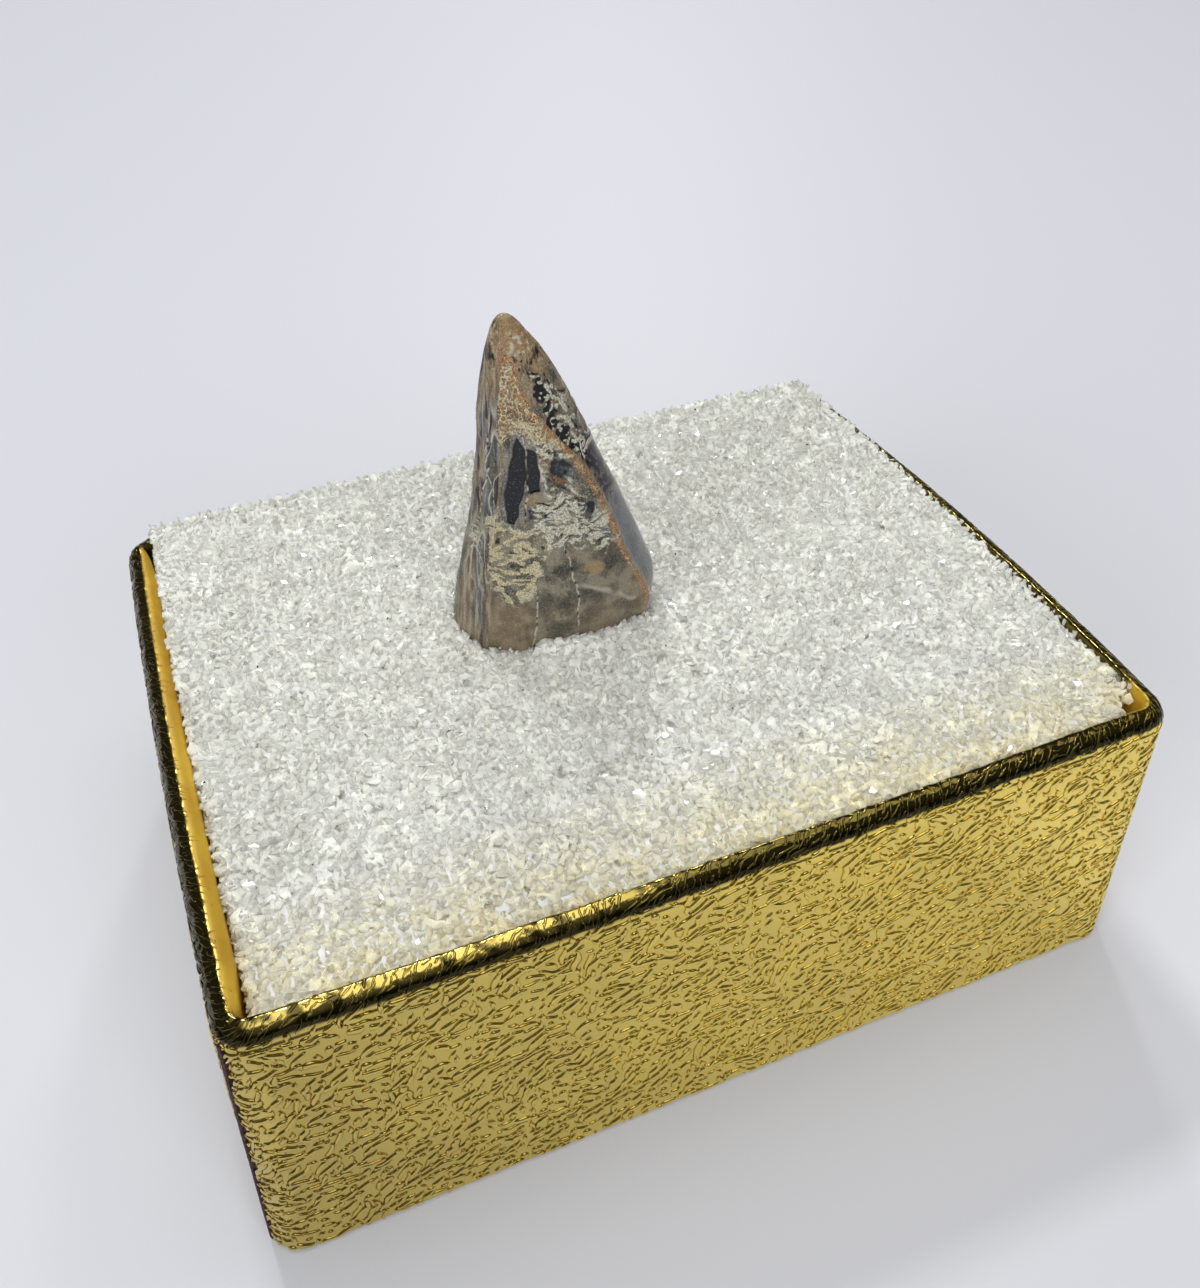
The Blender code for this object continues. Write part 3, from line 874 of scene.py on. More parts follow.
def make_paper_edge():
    material, tree, shader = new_finish("raw_paper_edge", roughness=0.9)
    fibres = add_unevenness(tree, 6000)
    colour = blend_colours(tree, fibres.outputs["Mask"], (44, 30, 38), (84, 62, 70))
    tree.links.new(colour, shader.inputs["Base Color"])
    rows = np.linspace(EDGE_LOW, EDGE_HIGH, EDGE_ROWS)
    spots = np.stack([rows, rows * 0, rows * 0], axis=1)
    wobble = 0.06 * MM * noise_field(spots, 2.5 * MM)
    left_rag = 0.10 * MM * np.abs(noise_field(spots, 0.22 * MM, 3.7)) ** 1.5
    right_rag = 0.05 * MM * noise_field(spots, 0.35 * MM, 9.1)
    middle_line = EDGE_MIDDLE + EDGE_SHIFT * rows / EDGE_HIGH + wobble
    left = middle_line - EDGE_HALF - left_rag
    right = middle_line + EDGE_HALF + right_rag
    middle = (left + right) / 2
    low = np.full(EDGE_ROWS, WALL_LIFT - 0.05 * MM)
    high = np.full(EDGE_ROWS, EDGE_RAISE)
    loops = [(left, low), (left, high * 0.3), (middle, high), (right, high * 0.3), (right, low)]
    points = np.stack([wrap_round_tray(across, rows, lift) for across, lift in loops], axis=1)
    count = len(loops)
    faces = grid_faces(EDGE_ROWS, count, closed=True)
    faces.append(tuple(reversed(range(count))))
    faces.append(tuple(range((EDGE_ROWS - 1) * count, EDGE_ROWS * count)))
    strip = object_from_arrays("foil_cut_edge", points.reshape(-1, 3), faces, material, smooth=False)
    mesh = bmesh.new()
    mesh.from_mesh(strip.data)
    bmesh.ops.recalc_face_normals(mesh, faces=mesh.faces)
    mesh.to_mesh(strip.data)
    mesh.free()
    return strip


foil_pieces.append(make_paper_edge())
print("cut edge runs from", round(EDGE_LOW / MM, 1), "to", round(EDGE_HIGH / MM, 1), "mm along the wall")

# %% [markdown]
# ## Card tray
#
# The stiff card under the foil keeps its solid, which is right as it is. It is raw grey-brown card, hardly
# seen, with the short fibres that such board has.

# %% Finish of the card
def finish_card():
    material, tree, shader = new_finish("grey_card", roughness=0.9)
    fibres = add_unevenness(tree, 2600, 5.0)
    patches = add_unevenness(tree, 350, 2.0)
    colour = blend_colours(tree, fibres.outputs["Mask"], (150, 138, 122), (182, 170, 150))
    colour = blend_colours(tree, multiply(tree, patches.outputs["Mask"], 0.4), colour, (128, 116, 100))
    tree.links.new(colour, shader.inputs["Base Color"])
    add_bump(tree, shader, fibres.outputs["Height"], 0.4, 0.05 * MM)
    card = frame["nodes"]["card_tray"]
    card.data.materials.clear()
    card.data.materials.append(material)


finish_card()
print("card tray keeps its solid")

# %% [markdown]
# ## The tooth
#
# The tooth is one piece of stone: dark enamel, polished smooth low down, with a cream mineral network and an
# orange, beaded keel that winds up its front. Its shape follows a rule, the same as in the solid: an oval
# section whose reach to the left and right changes with the height, flattened between two keels. Here the
# same section is sampled much more finely, so that beads, cracks and crust are real relief.

# %% The tooth's section
TOOTH_FOOT = 19.0 * MM
TOOTH_TIP = 39.7 * MM
TOOTH_TIP_REACH = -4.2 * MM
TOOTH_DEPTH_SHARE = 0.78
FOOT_CENTRE_DEPTH = 1.3 * MM
TIP_CENTRE_DEPTH = 0.9 * MM
ROUND_TIP_FROM = 0.96
LEFT_REACH = (
    (0.00, -9.2), (0.10, -8.8), (0.25, -8.1), (0.42, -7.2), (0.60, -6.5), (0.76, -6.1), (0.89, -5.5),
    (0.96, -5.0),
)
RIGHT_REACH = (
    (0.00, 2.4), (0.08, 3.4), (0.16, 3.7), (0.26, 3.1), (0.42, 1.9), (0.60, 0.4), (0.76, -0.9),
    (0.89, -2.2), (0.96, -3.2),
)
RIGHT_KEEL = (
    (0.0, -20), (0.12, -24), (0.30, -33), (0.49, -36), (0.61, -46), (0.70, -66), (0.82, -88), (1.0, -108),
)
LEFT_KEEL = ((0.0, -126), (0.30, -129), (0.56, -123), (0.79, -112), (1.0, -108))
FRONT_FLATNESS = 0.40


def smooth_value(stops, share):
    """Values at these shares of the way along a smooth curve through (share, value) stops."""
    stops = np.array(stops, float)
    last = len(stops) - 1
    part = np.clip(np.searchsorted(stops[:, 0], share, side="left") - 1, 0, last - 1)
    start, end = stops[part], stops[part + 1]
    before, after = stops[np.maximum(part - 1, 0)], stops[np.minimum(part + 2, last)]
    span = end[:, 0] - start[:, 0]
    local = np.clip((share - start[:, 0]) / span, 0.0, 1.0)
    slope_in = (end[:, 1] - before[:, 1]) / (end[:, 0] - before[:, 0]) * span
    slope_out = (after[:, 1] - start[:, 1]) / (after[:, 0] - start[:, 0]) * span
    return (start[:, 1] * (1 + 2 * local) * (1 - local) ** 2 + slope_in * local * (1 - local) ** 2
            + end[:, 1] * local ** 2 * (3 - 2 * local) + slope_out * local ** 2 * (local - 1))


def tooth_extent(share):
    """The tooth's left and right reach at these shares of its height, with a round tip."""
    held = np.minimum(share, ROUND_TIP_FROM)
    left = smooth_value(LEFT_REACH, held) * MM
    right = smooth_value(RIGHT_REACH, held) * MM
    left_over = np.clip((1 - share) / (1 - ROUND_TIP_FROM), 0, 1)
    middle = (left + right) / 2 * left_over + TOOTH_TIP_REACH * (1 - left_over)
    half = (right - left) / 2 * np.sqrt(left_over)
    return middle - half, middle + half


def on_oval(half_width, degrees):
    turn = np.radians(degrees)
    return np.stack([half_width * np.cos(turn), half_width * TOOTH_DEPTH_SHARE * np.sin(turn)], axis=-1)


def section_point(share, degrees):
    """Points of the tooth's oval section, its front flattened between the two keels."""
    left, right = tooth_extent(share)
    half_width = (right - left) / 2
    centre = np.stack([(left + right) / 2,
                       FOOT_CENTRE_DEPTH + (TIP_CENTRE_DEPTH - FOOT_CENTRE_DEPTH) * share], axis=-1)
    keel_left = smooth_value(LEFT_KEEL, share)
    keel_right = smooth_value(RIGHT_KEEL, share)
    along = ((degrees - keel_left) / (keel_right - keel_left + 1e-6))[:, None]
    point = on_oval(half_width, degrees)
    chord = on_oval(half_width, keel_left) * (1 - along) + on_oval(half_width, keel_right) * along
    between = ((degrees > keel_left) & (degrees < keel_right))[:, None]
    point = np.where(between, point + (chord - point) * FRONT_FLATNESS, point)
    return centre + point


TOOTH_RINGS = 285
TOOTH_SIDES = 340
TIP_CROWDING = 1.15
FRONT_FROM, FRONT_TO, FRONT_CROWDING = -160, 15, 3.0


def tooth_grid():
    """The share of the height and the angle of each point, crowded on the front."""
    fine = np.linspace(-180, 180, 3601)[:-1]
    weight = np.where((fine > FRONT_FROM) & (fine < FRONT_TO), FRONT_CROWDING, 1.0)
    passed = np.concatenate([[0.0], np.cumsum(weight)])
    degrees = np.interp(np.arange(TOOTH_SIDES) / TOOTH_SIDES * passed[-1], passed, np.append(fine, 180.0))
    shares = 1 - (1 - np.arange(TOOTH_RINGS) / TOOTH_RINGS) ** TIP_CROWDING
    share, angle = np.meshgrid(shares, degrees, indexing="ij")
    return share.ravel(), angle.ravel()


tooth_share, tooth_angle = tooth_grid()
tooth_plain = section_point(tooth_share, tooth_angle)
tooth_height = TOOTH_FOOT + (TOOTH_TIP - TOOTH_FOOT) * tooth_share
tooth_spots = np.column_stack([tooth_plain, tooth_height])
print("tooth:", len(tooth_spots), "points")

# %% [markdown]
# The tooth's foot and its markings are outlines and lines on a flat map. Three small functions say how far
# a point is from a line, whether it lies inside an outline, and how soft a step is.

# %% Distances in a flat map
def distance_to_line(across, up, line):
    """Distance to the nearest part of a line through (across, up) corners."""
    nearest = np.full(across.shape, 1e9)
    for (x1, z1), (x2, z2) in zip(line, line[1:]):
        span = (x2 - x1) ** 2 + (z2 - z1) ** 2
        share = np.clip(((across - x1) * (x2 - x1) + (up - z1) * (z2 - z1)) / span, 0, 1)
        nearest = np.minimum(nearest, np.hypot(across - x1 - share * (x2 - x1), up - z1 - share * (z2 - z1)))
    return nearest


def inside_outline(across, up, outline, softness):
    """1 inside a closed outline and 0 outside it, with an edge this soft."""
    inside = np.zeros(across.shape, bool)
    for (x1, z1), (x2, z2) in zip(outline, outline[1:] + outline[:1]):
        if z1 == z2:
            continue
        crosses = ((z1 > up) != (z2 > up)) & (across < (x2 - x1) * (up - z1) / (z2 - z1) + x1)
        inside ^= crosses
    distance = distance_to_line(across, up, outline + outline[:1])
    signed = np.where(inside, distance, -distance)
    return np.clip(0.5 + signed / softness, 0, 1)


def ramp(value, low, high):
    """0 below low, 1 above high and smooth between; low may be the larger."""
    share = np.clip((value - low) / (high - low), 0, 1)
    return share * share * (3 - 2 * share)


print("half way up, the tooth reaches", [round(float(x[0]) / MM, 1) for x in tooth_extent(np.array([0.5]))])

# %% [markdown]
# ## The bed of grains
#
# The bed is a mass of broken crystal, about half a millimetre to a millimetre a grain. Only the upper
# grains are seen, so the mass under them is one rough white core. On it lie an under layer and an upper
# layer of milky grains, small chips, a few clear grains and a few dark specks. The grains are angular
# shards: a few random hulls, scattered by Geometry Nodes over the bed's own surface and the top of its
# sides, turned every way. The same rule as in the solid gives that surface.

# %% The bed's surface
CLEARANCE = 0.3 * MM
LEFT_GAP = 0.3 * MM
BED_FRONT_LEFT = 19.0 * MM
BED_FRONT_RIGHT = 19.5 * MM
BED_BACK_LEFT = 21.2 * MM
BED_BACK_RIGHT = 20.7 * MM
BED_RISE_POWER = 1.6
BED_FLOOR = 1.15 * MM
TOOTH_TURN = math.radians(-22)
HEAP_HEIGHT = 0.75
HEAP_SIZE = 1.5
HOLLOW_DEPTH = 0.15


def bell(distance, width):
    return np.exp(-(distance / width) ** 2)


def bed_surface(across, along):
    """Height of the bed's surface; across runs from left to right and along from front to back."""
    climb = along ** BED_RISE_POWER
    left = BED_FRONT_LEFT + (BED_BACK_LEFT - BED_FRONT_LEFT) * climb
    right = BED_FRONT_RIGHT + (BED_BACK_RIGHT - BED_FRONT_RIGHT) * climb
    return left + (right - left) * across


def bed_point(across, along, height, bite=0.0):
    """A point of the bed's plan at one height; bite draws its edge in from the tray's inner face."""
    rise = height / TRAY_HEIGHT
    left, right, front, back = side_reach(rise)
    margin = WALL + CLEARANCE + bite
    left = left + margin + LEFT_GAP - bow_out(SIDE_BOWS[2], rise, along)
    right = right - margin + bow_out(SIDE_BOWS[0], rise, along)
    front = front + margin - bow_out(SIDE_BOWS[3], rise, across)
    back = back - margin + bow_out(SIDE_BOWS[1], rise, across)
    x = left + (right - left) * across + TRAY_MIDDLE[0]
    y = front + (back - front) * along + TRAY_MIDDLE[1]
    return np.stack([x, y, height + 0 * x], axis=-1)


def to_tooth_axes(points):
    """Points in the tooth's own axes: x across its front and y from its front to its back."""
    x = points[..., 0] - TRAY_MIDDLE[0]
    y = points[..., 1] - TRAY_MIDDLE[1]
    cos, sin = math.cos(TOOTH_TURN), math.sin(TOOTH_TURN)
    return x * cos + y * sin, -x * sin + y * cos


def tooth_outline(share):
    """The tooth's outline at one share of its height, in its own axes, in millimetres."""
    degrees = np.arange(-180.0, 180.0, 6.0)
    ring = section_point(np.full(degrees.shape, share), degrees) / MM
    return [tuple(point) for point in ring.tolist()]


def off_tooth(points):
    """How far outside the tooth's foot the points are, in millimetres, below zero inside it."""
    x, y = to_tooth_axes(np.atleast_2d(points))
    outline = tooth_outline(0.05)
    distance = distance_to_line(x / MM, y / MM, outline + outline[:1])
    return np.where(inside_outline(x / MM, y / MM, outline, 0.01) > 0.5, -distance, distance)


def heap_at_tooth(points):
    """The grains are heaped against the right part of the tooth's front and hollowed at its left."""
    x, y = to_tooth_axes(points)
    close = bell(np.maximum(off_tooth(points), 0.0), HEAP_SIZE)
    to_right = ramp(x / MM, -4.6, -3.0)
    to_front = ramp(y / MM, 2.5, 0.0)
    return MM * close * to_front * (HEAP_HEIGHT * to_right - HOLLOW_DEPTH * (1 - to_right))


print("bed surface is", round(bed_surface(0.4, 0.4) / MM, 2), "mm up in front of the tooth")

# %% [markdown]
# The grains and the core are both made from one skin: the bed's upper surface and the top of its sides. It
# swells a little, as poured grains do, and is heaped against the tooth.

# %% The bed's skin
BED_SPREAD = 0.30 * MM
CORE_DEPTH = 0.34 * MM
BED_SWELL = 0.10 * MM
BED_SWELL_SIZE = 3.0 * MM
SKIRT = 1.9 * MM
OPEN_CORNER = 1.35 * MM
CORNER_HOLLOW = 2.3 * MM
HOLLOW_DROP = 1.5 * MM
BED_LONG = 51                                        # the bed's length and depth in millimetres
BED_SHORT = 40


def make_bed_skin(depth, columns=96, rows=78):
    """The bed's upper surface and the top of its sides, this deep under the real one."""
    across, along = np.meshgrid(np.linspace(0, 1, columns), np.linspace(0, 1, rows))
    across, along = across.ravel(), along.ravel()
    edge = np.minimum.reduce([across * BED_LONG, (1 - across) * BED_LONG,
                              along * BED_SHORT, (1 - along) * BED_SHORT]) * MM
    points = bed_point(across, along, bed_surface(across, along), depth * np.clip(1 - edge / MM, 0, 1))
    to_wall = BED_SPREAD * (depth < CORE_DEPTH)
    points[:, 0] += to_wall * np.clip(1 - (1 - across) * 25, 0, 1)
    points[:, 1] += to_wall * (np.clip(1 - (1 - along) * 20, 0, 1) - np.clip(1 - along * 20, 0, 1))
    points[:, 2] += BED_SWELL * noise_field(points, BED_SWELL_SIZE)
    points[:, 2] += heap_at_tooth(points) - depth
    faces = grid_faces(rows, columns)
    rim = list(range(columns - 1))
    rim += [row * columns + columns - 1 for row in range(rows - 1)]
    rim += [rows * columns - 1 - column for column in range(columns - 1)]
    rim += [row * columns for row in range(rows - 1, 0, -1)]
    count = len(points)
    skirt = points[rim].copy()
    skirt[:, 2] -= SKIRT
    for index in range(len(rim)):
        following = (index + 1) % len(rim)
        faces.append((count + index, count + following, rim[following], rim[index]))
    points = np.concatenate([points, skirt])
    return points, faces, rim


def off_corner(points):
    """How far the points are from the front right corner of the bed."""
    corner = bed_point(np.array(1.0), np.array(0.0), np.array(TRAY_HEIGHT))
    return np.hypot(points[:, 0] - corner[0], points[:, 1] - corner[1])


def cut_faces(points, faces, keep_out):
    """Only the faces whose middles lie clear of the tooth and of the open corner."""
    middles = np.array([points[list(face)].mean(axis=0) for face in faces])
    clear = (off_tooth(middles) > keep_out) & (off_corner(middles) > OPEN_CORNER)
    return [face for face, kept in zip(faces, clear) if kept]


print("skin:", len(make_bed_skin(0.0)[1]), "faces")

# %% [markdown]
# The core is packed white crystal, lower than the grains that cover it. It stops short of the tray's walls
# and is hollowed at the front right corner, where the real bed doesn't reach the corner either.

# %% Core of the bed
def make_core_finish():
    material, tree, shader = new_finish("packed_crystal", roughness=0.6)
    grain = add_unevenness(tree, 1500, 2.0, 0.38, 0.62)
    colour = blend_colours(tree, grain.outputs["Mask"], (238, 238, 234), (252, 252, 250))
    tree.links.new(colour, shader.inputs["Base Color"])
    add_bump(tree, shader, grain.outputs["Height"], 0.6, 0.2 * MM)
    return material


WELL_INSIDE = -0.35                                  # millimetres inside the tooth's outline
CORE_UNDER_TOOTH = 18.2 * MM


def make_bed_core():
    """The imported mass: the skin, lowered, with its skirt carried down to the tray's floor and closed."""
    points, faces, rim = make_bed_skin(CORE_DEPTH)
    skirt_start = len(points) - len(rim)
    faces.append(tuple(reversed(range(skirt_start, len(points)))))
    points[:, 2] -= HOLLOW_DROP * ramp(off_corner(points), CORNER_HOLLOW, 0.6 * CORNER_HOLLOW)
    points[skirt_start:, 2] = BED_FLOOR
    inside = off_tooth(points) < WELL_INSIDE
    inside[skirt_start:] = False
    points[inside, 2] = np.minimum(points[inside, 2], CORE_UNDER_TOOTH)
    return object_from_arrays("crystal_core", points, faces, make_core_finish())


crystal_core = make_bed_core()
print("core:", len(crystal_core.data.polygons), "faces")

# %% [markdown]
# Real grains are clear quartz-like shards, but a heap of them looks milky, because light is turned at every
# face. So most grains spread light under their surface, and only a few of the upper ones are clear.

# %% Grain shapes and their finishes
GRAIN_SHAPES = 9
GRAIN_CORNERS = 11
FIRST_GRAIN_SEED = 40
MILK_DEPTH = 0.90 * MM


def make_grain_shape(name, material, seed, corners):
    """An angular shard about one unit across: the hull of a few random points, flattened a little."""
    chance = np.random.default_rng(seed)
    spots = chance.normal(size=(corners, 3))
    spots /= np.linalg.norm(spots, axis=1)[:, None]
    spots *= chance.uniform(0.44, 0.54, (corners, 1))
    spots *= np.array([1.12, chance.uniform(0.85, 1.0), chance.uniform(0.7, 0.9)])
    mesh = bmesh.new()
    for spot in spots:
        mesh.verts.new(spot)
    hull = bmesh.ops.convex_hull(mesh, input=mesh.verts)
    spare = [thing for thing in set(hull["geom_interior"] + hull["geom_unused"])
             if isinstance(thing, bmesh.types.BMVert)]
    bmesh.ops.delete(mesh, geom=spare, context="VERTS")
    bmesh.ops.recalc_face_normals(mesh, faces=mesh.faces)
    data = bpy.data.meshes.new(name)
    mesh.to_mesh(data)
    mesh.free()
    data.materials.append(material)
    shape = bpy.data.objects.new(name, data)
    scene.collection.objects.link(shape)
    return shape


def make_crystal_finish(name, roughness, tint, shade, clear):
    """Broken crystal: a clear grain lets light through, and a milky one spreads it under its surface."""
    material, tree, shader = new_finish(name, roughness=roughness)
    cloud = add_unevenness(tree, 700, 2.0, 0.35, 0.65)
    colour = blend_colours(tree, cloud.outputs["Mask"], shade, tint)
    # Towards the bed's front edge the grains are tinted warm: painted reflected light from the gold foil.
    painted_gold_bounce = stretch(tree, object_place(tree, "Y"), -20.5 * MM, -13.5 * MM, 0.95, 0.0)
    painted_gold_bounce = multiply(tree, painted_gold_bounce, stretch(tree, cloud.outputs["Height"], 0.35, 0.6, 0.4, 1.0))
    colour = blend_colours(tree, painted_gold_bounce, colour, (236, 227, 188))
    tree.links.new(colour, shader.inputs["Base Color"])
    shader.inputs["IOR"].default_value = 1.54
    if clear:
        shader.inputs["Transmission Weight"].default_value = 1.0
    else:
        shader.subsurface_method = "BURLEY"
        shader.inputs["Subsurface Weight"].default_value = 1.0
        shader.inputs["Subsurface Radius"].default_value = (1.0, 1.0, 1.0)
        shader.inputs["Subsurface Scale"].default_value = MILK_DEPTH
    return material


def make_speck_finish():
    material, _, shader = new_finish("dark_speck", roughness=0.7)
    shader.inputs["Base Color"].default_value = screen_colour(58, 50, 44)
    return material


milky_finish = make_crystal_finish("milky_crystal", 0.07, (237, 238, 231), (224, 224, 216), clear=False)
clear_finish = make_crystal_finish("clear_crystal", 0.08, (255, 255, 252), (250, 250, 246), clear=True)
speck_finish = make_speck_finish()
grain_shapes = new_collection("grain_shapes")
for number in range(GRAIN_SHAPES):
    shape = make_grain_shape(f"grain_shape_{number}", milky_finish, FIRST_GRAIN_SEED + number, GRAIN_CORNERS)
    move_to_collection(shape, grain_shapes)

# %% [markdown]
# The grains keep their distance, are turned every way, and are sunk along the surface's normal, so that they
# overlap and only their upper corners stand out.

# %% The tree that scatters the grains
DENSE_GRAINS = 6.0e7


def make_grain_scatter_tree():
    tree, given, result = new_geometry_tree("scattered_grains", {
        "Collection": ("Grains",),
        "Float": ("Spacing", "Smallest", "Largest", "Sink"),
        "Int": ("Seed",),
        "Material": ("Finish",),
    })
    points = spaced_points(tree, given, DENSE_GRAINS)
    down = vector_math(tree, "SCALE", points["Normal"], scale=multiply(tree, given["Sink"], -1.0))
    sunk = add_node(tree, "GeometryNodeSetPosition", {"Geometry": points["Points"], "Offset": down})
    turn = add_node(tree, "FunctionNodeRandomValue", {
        0: (0.0, 0.0, 0.0), 1: (2 * math.pi, 2 * math.pi, 2 * math.pi), "Seed": given["Seed"],
    }, data_type="FLOAT_VECTOR")
    chance = random_number(tree, 0.0, 1.0, Seed=21)
    size = stretch(tree, chance, 0.0, 1.0, given["Smallest"], given["Largest"])
    grains = place_shapes(tree, given["Grains"], sunk.outputs[0], turn.outputs[0], size, GRAIN_SHAPES, 8)
    end_with_finish(tree, grains, given, result)
    return tree


grain_scatter = make_grain_scatter_tree()
print("tree:", grain_scatter.name, "with", len(grain_scatter.nodes), "nodes")

# %% [markdown]
# Every layer is scattered over the same skin of the bed, left open round the tooth's foot and at the hollow
# corner. The skin itself is used up by its tree, and only the grains remain.

# %% Lay the grains
GRAIN_LAYERS = (        # name, finish, depth, space to the tooth, spacing, smallest, largest, sink, seed
    ("grains_under", milky_finish, 0.18, 0.10, 0.46, 0.70, 0.95, 0.30, 2),
    ("grains_milky", milky_finish, 0.0, 0.30, 0.46, 0.62, 0.98, 0.40, 3),
    ("grains_clear", clear_finish, 0.0, 0.24, 2.10, 0.45, 0.75, 0.36, 4),
    ("grain_chips", milky_finish, 0.0, 0.12, 0.56, 0.20, 0.50, 0.10, 5),
    ("grain_specks", speck_finish, 0.0, 1.0, 9.0, 0.10, 0.20, -0.12, 6),
)


def lay_grains(name, finish, depth, keep_out, spacing, smallest, largest, sink, seed):
    """One layer of loose grains; all its lengths are in millimetres."""
    points, faces, _ = make_bed_skin(depth * MM)
    piece = object_from_arrays(name, points, cut_faces(points, faces, keep_out), finish)
    run_tree(piece, grain_scatter, {
        "Grains": grain_shapes, "Finish": finish, "Seed": seed, "Spacing": spacing * MM,
        "Smallest": smallest * MM, "Largest": largest * MM, "Sink": sink * MM})
    piece.data.shade_flat()
    return piece


grain_pieces = [crystal_core] + [lay_grains(*layer) for layer in GRAIN_LAYERS]
report_triangles(grain_pieces)

# %% [markdown]
# ### Markings of the tooth
#
# The markings are mapped in the tooth's own front view, in millimetres: across its front, and up. Each one
# is an outline, a line or a spot, and noise frays its edge. They are kept as masks, one number at each
# point of the mesh, which the material reads. The far side, which has no map, gets the same finishes from
# noise alone.

# %% Maps of the markings
GLOSSY_LENSES = (
    ((-3.89, 33.3), (-3.52, 32.75), (-3.49, 31.0), (-3.83, 29.5), (-4.34, 28.1), (-4.76, 28.2), (-4.83, 29.4),
     (-4.56, 30.9), (-4.19, 32.4)),
    ((-3.39, 32.75), (-2.93, 32.45), (-2.72, 31.25), (-2.79, 30.1), (-3.35, 29.95), (-3.49, 31.3)),
)
DARK_PATCHES = (
    ((-2.26, 31.95), (-1.04, 31.65), (-1.13, 29.8), (-2.34, 30.4)),
    ((-0.59, 29.3), (0.24, 29.0), (0.21, 27.9), (-0.49, 28.3)),
    ((-3.6, 28.9), (-3.2, 29.0), (-3.1, 28.3), (-3.6, 28.1)),
)
CREAM_NETS = (
    ((-3.4, 29.0), (-2.25, 29.8), (-0.6, 29.6), (0.65, 28.3), (1.15, 26.4), (0.72, 25.9), (-0.14, 26.5),
     (-1.26, 26.6), (-2.4, 26.5), (-3.5, 27.7)),
    ((-5.35, 29.3), (-4.95, 28.4), (-4.4, 27.8), (-3.5, 27.8), (-2.2, 26.5), (-2.6, 25.3), (-3.14, 23.7),
     (-4.0, 23.1), (-4.7, 22.9), (-5.75, 23.3), (-6.2, 25.4), (-5.95, 27.6)),
    ((-4.15, 34.2), (-2.7, 34.2), (-0.9, 31.9), (-0.6, 29.6), (-2.25, 29.8), (-2.9, 29.2), (-2.7, 31.5),
     (-3.4, 33.2), (-4.0, 33.4)),
)
CREAM_FLANK = ((-3.0, 37.1), (-2.5, 36.8), (-1.4, 35.7), (-0.4, 33.4), (0.3, 32.1), (-0.2, 31.4),
               (-1.0, 32.4), (-1.8, 33.6), (-2.7, 35.6))
FLANK_SPOTS = ((-2.6, 35.9, 0.35), (-1.9, 34.2, 0.38), (-1.4, 33.0, 0.40), (-2.3, 35.0, 0.22))
FLANK_STREAK = ((-0.3, 32.2), (0.1, 31.7), (1.1, 29.5), (1.7, 27.9))
GRANULAR_TOP = ((-4.35, 37.4), (-3.9, 37.4), (-3.29, 35.4), (-2.5, 34.3), (-1.9, 33.0), (-2.6, 32.8),
                (-3.5, 33.6), (-4.2, 33.5), (-4.9, 32.6), (-4.95, 34.0), (-4.7, 35.6))
WHITE_TIP_PATCH = ((-3.95, 38.3), (-3.6, 38.9), (-3.3, 38.5), (-3.5, 37.9), (-3.9, 37.7))
TAN_OVALS = ((-3.2, 29.55, 0.42, 0.45), (0.1, 24.9, 0.62, 0.5))
DARK_LOW_PATCH = ((-0.3, 26.2), (1.2, 26.0), (1.7, 24.8), (1.2, 23.6), (-0.1, 23.9))
PALE_CRACKS = (
    ((-1.5, 26.5), (-1.33, 25.4), (-0.85, 23.4), (-0.94, 21.1)),
    ((-3.33, 23.6), (-3.38, 22.2), (-3.81, 19.4)),
    ((-3.49, 33.3), (-3.42, 31.5), (-3.46, 29.9), (-3.7, 28.6)),
    ((-2.72, 32.3), (-2.66, 31.2), (-2.4, 30.2)),
    ((-5.35, 33.9), (-5.94, 31.3), (-5.53, 30.0), (-5.3, 28.8)),
    ((-5.0, 33.6), (-5.5, 32.6), (-5.9, 31.6)),
    ((-5.6, 31.4), (-6.2, 29.6), (-6.4, 28.2)),
)
PALE_STREAK = ((-0.79, 24.0), (0.65, 23.4), (2.43, 22.1))


def fray(points, amount, size, offset):
    """The points' across and up, in millimetres, shifted by noise so that an outline looks grown."""
    across = points[:, 0] / MM + amount * noise_field(points, size * MM, offset)
    up = points[:, 2] / MM + amount * noise_field(points, size * MM, offset + 5.2)
    return across, up


print("mapped outlines:", len(GLOSSY_LENSES) + len(DARK_PATCHES) + len(CREAM_NETS))

# %% [markdown]
# Every mask below is a product of a few such parts: where it lies (an outline, a side or a height), how its
# edge is frayed (a ramp over noise), and how strong it is. `ramp(value, low, high)` is the soft step that
# all of them use; when its low is the larger number, it falls where the value grows.

# %% Masks from the maps
front = ramp(tooth_angle, -172, -158) * ramp(tooth_angle, 35, 12)
keel_left_angle = smooth_value(LEFT_KEEL, tooth_share)
keel_right_angle = smooth_value(RIGHT_KEEL, tooth_share)
extent_left, extent_right = tooth_extent(tooth_share)
per_degree = (extent_right - extent_left) / 2 * math.pi / 180
from_left_keel = (tooth_angle - keel_left_angle) * per_degree / MM
from_right_keel = (tooth_angle - keel_right_angle) * per_degree / MM
z_mm = tooth_height / MM
s_mm = tooth_plain[:, 0] / MM

fine_noise = noise_field(tooth_spots, 0.26 * MM)
mid_noise = noise_field(tooth_spots, 0.9 * MM, 3.1)
broad_noise = noise_field(tooth_spots, 2.8 * MM, 6.4)
bead_noise = noise_field(tooth_spots, 0.24 * MM, 20.4)
grit_noise = noise_field(tooth_spots, 0.16 * MM, 27.7)
left_side = ramp(from_left_keel, 0.15, -0.15) * front
right_side = ramp(from_right_keel, -0.1, 0.25) * front
between = np.clip(front - left_side - right_side, 0, 1)


def strands(across, up, long_size, short_size, offset):
    """Noise drawn out into strands; the strands run across, and their width is the short size."""
    spots = np.column_stack([across / long_size, up / short_size, across * 0]) + offset
    return noise_field(spots, 1.0)


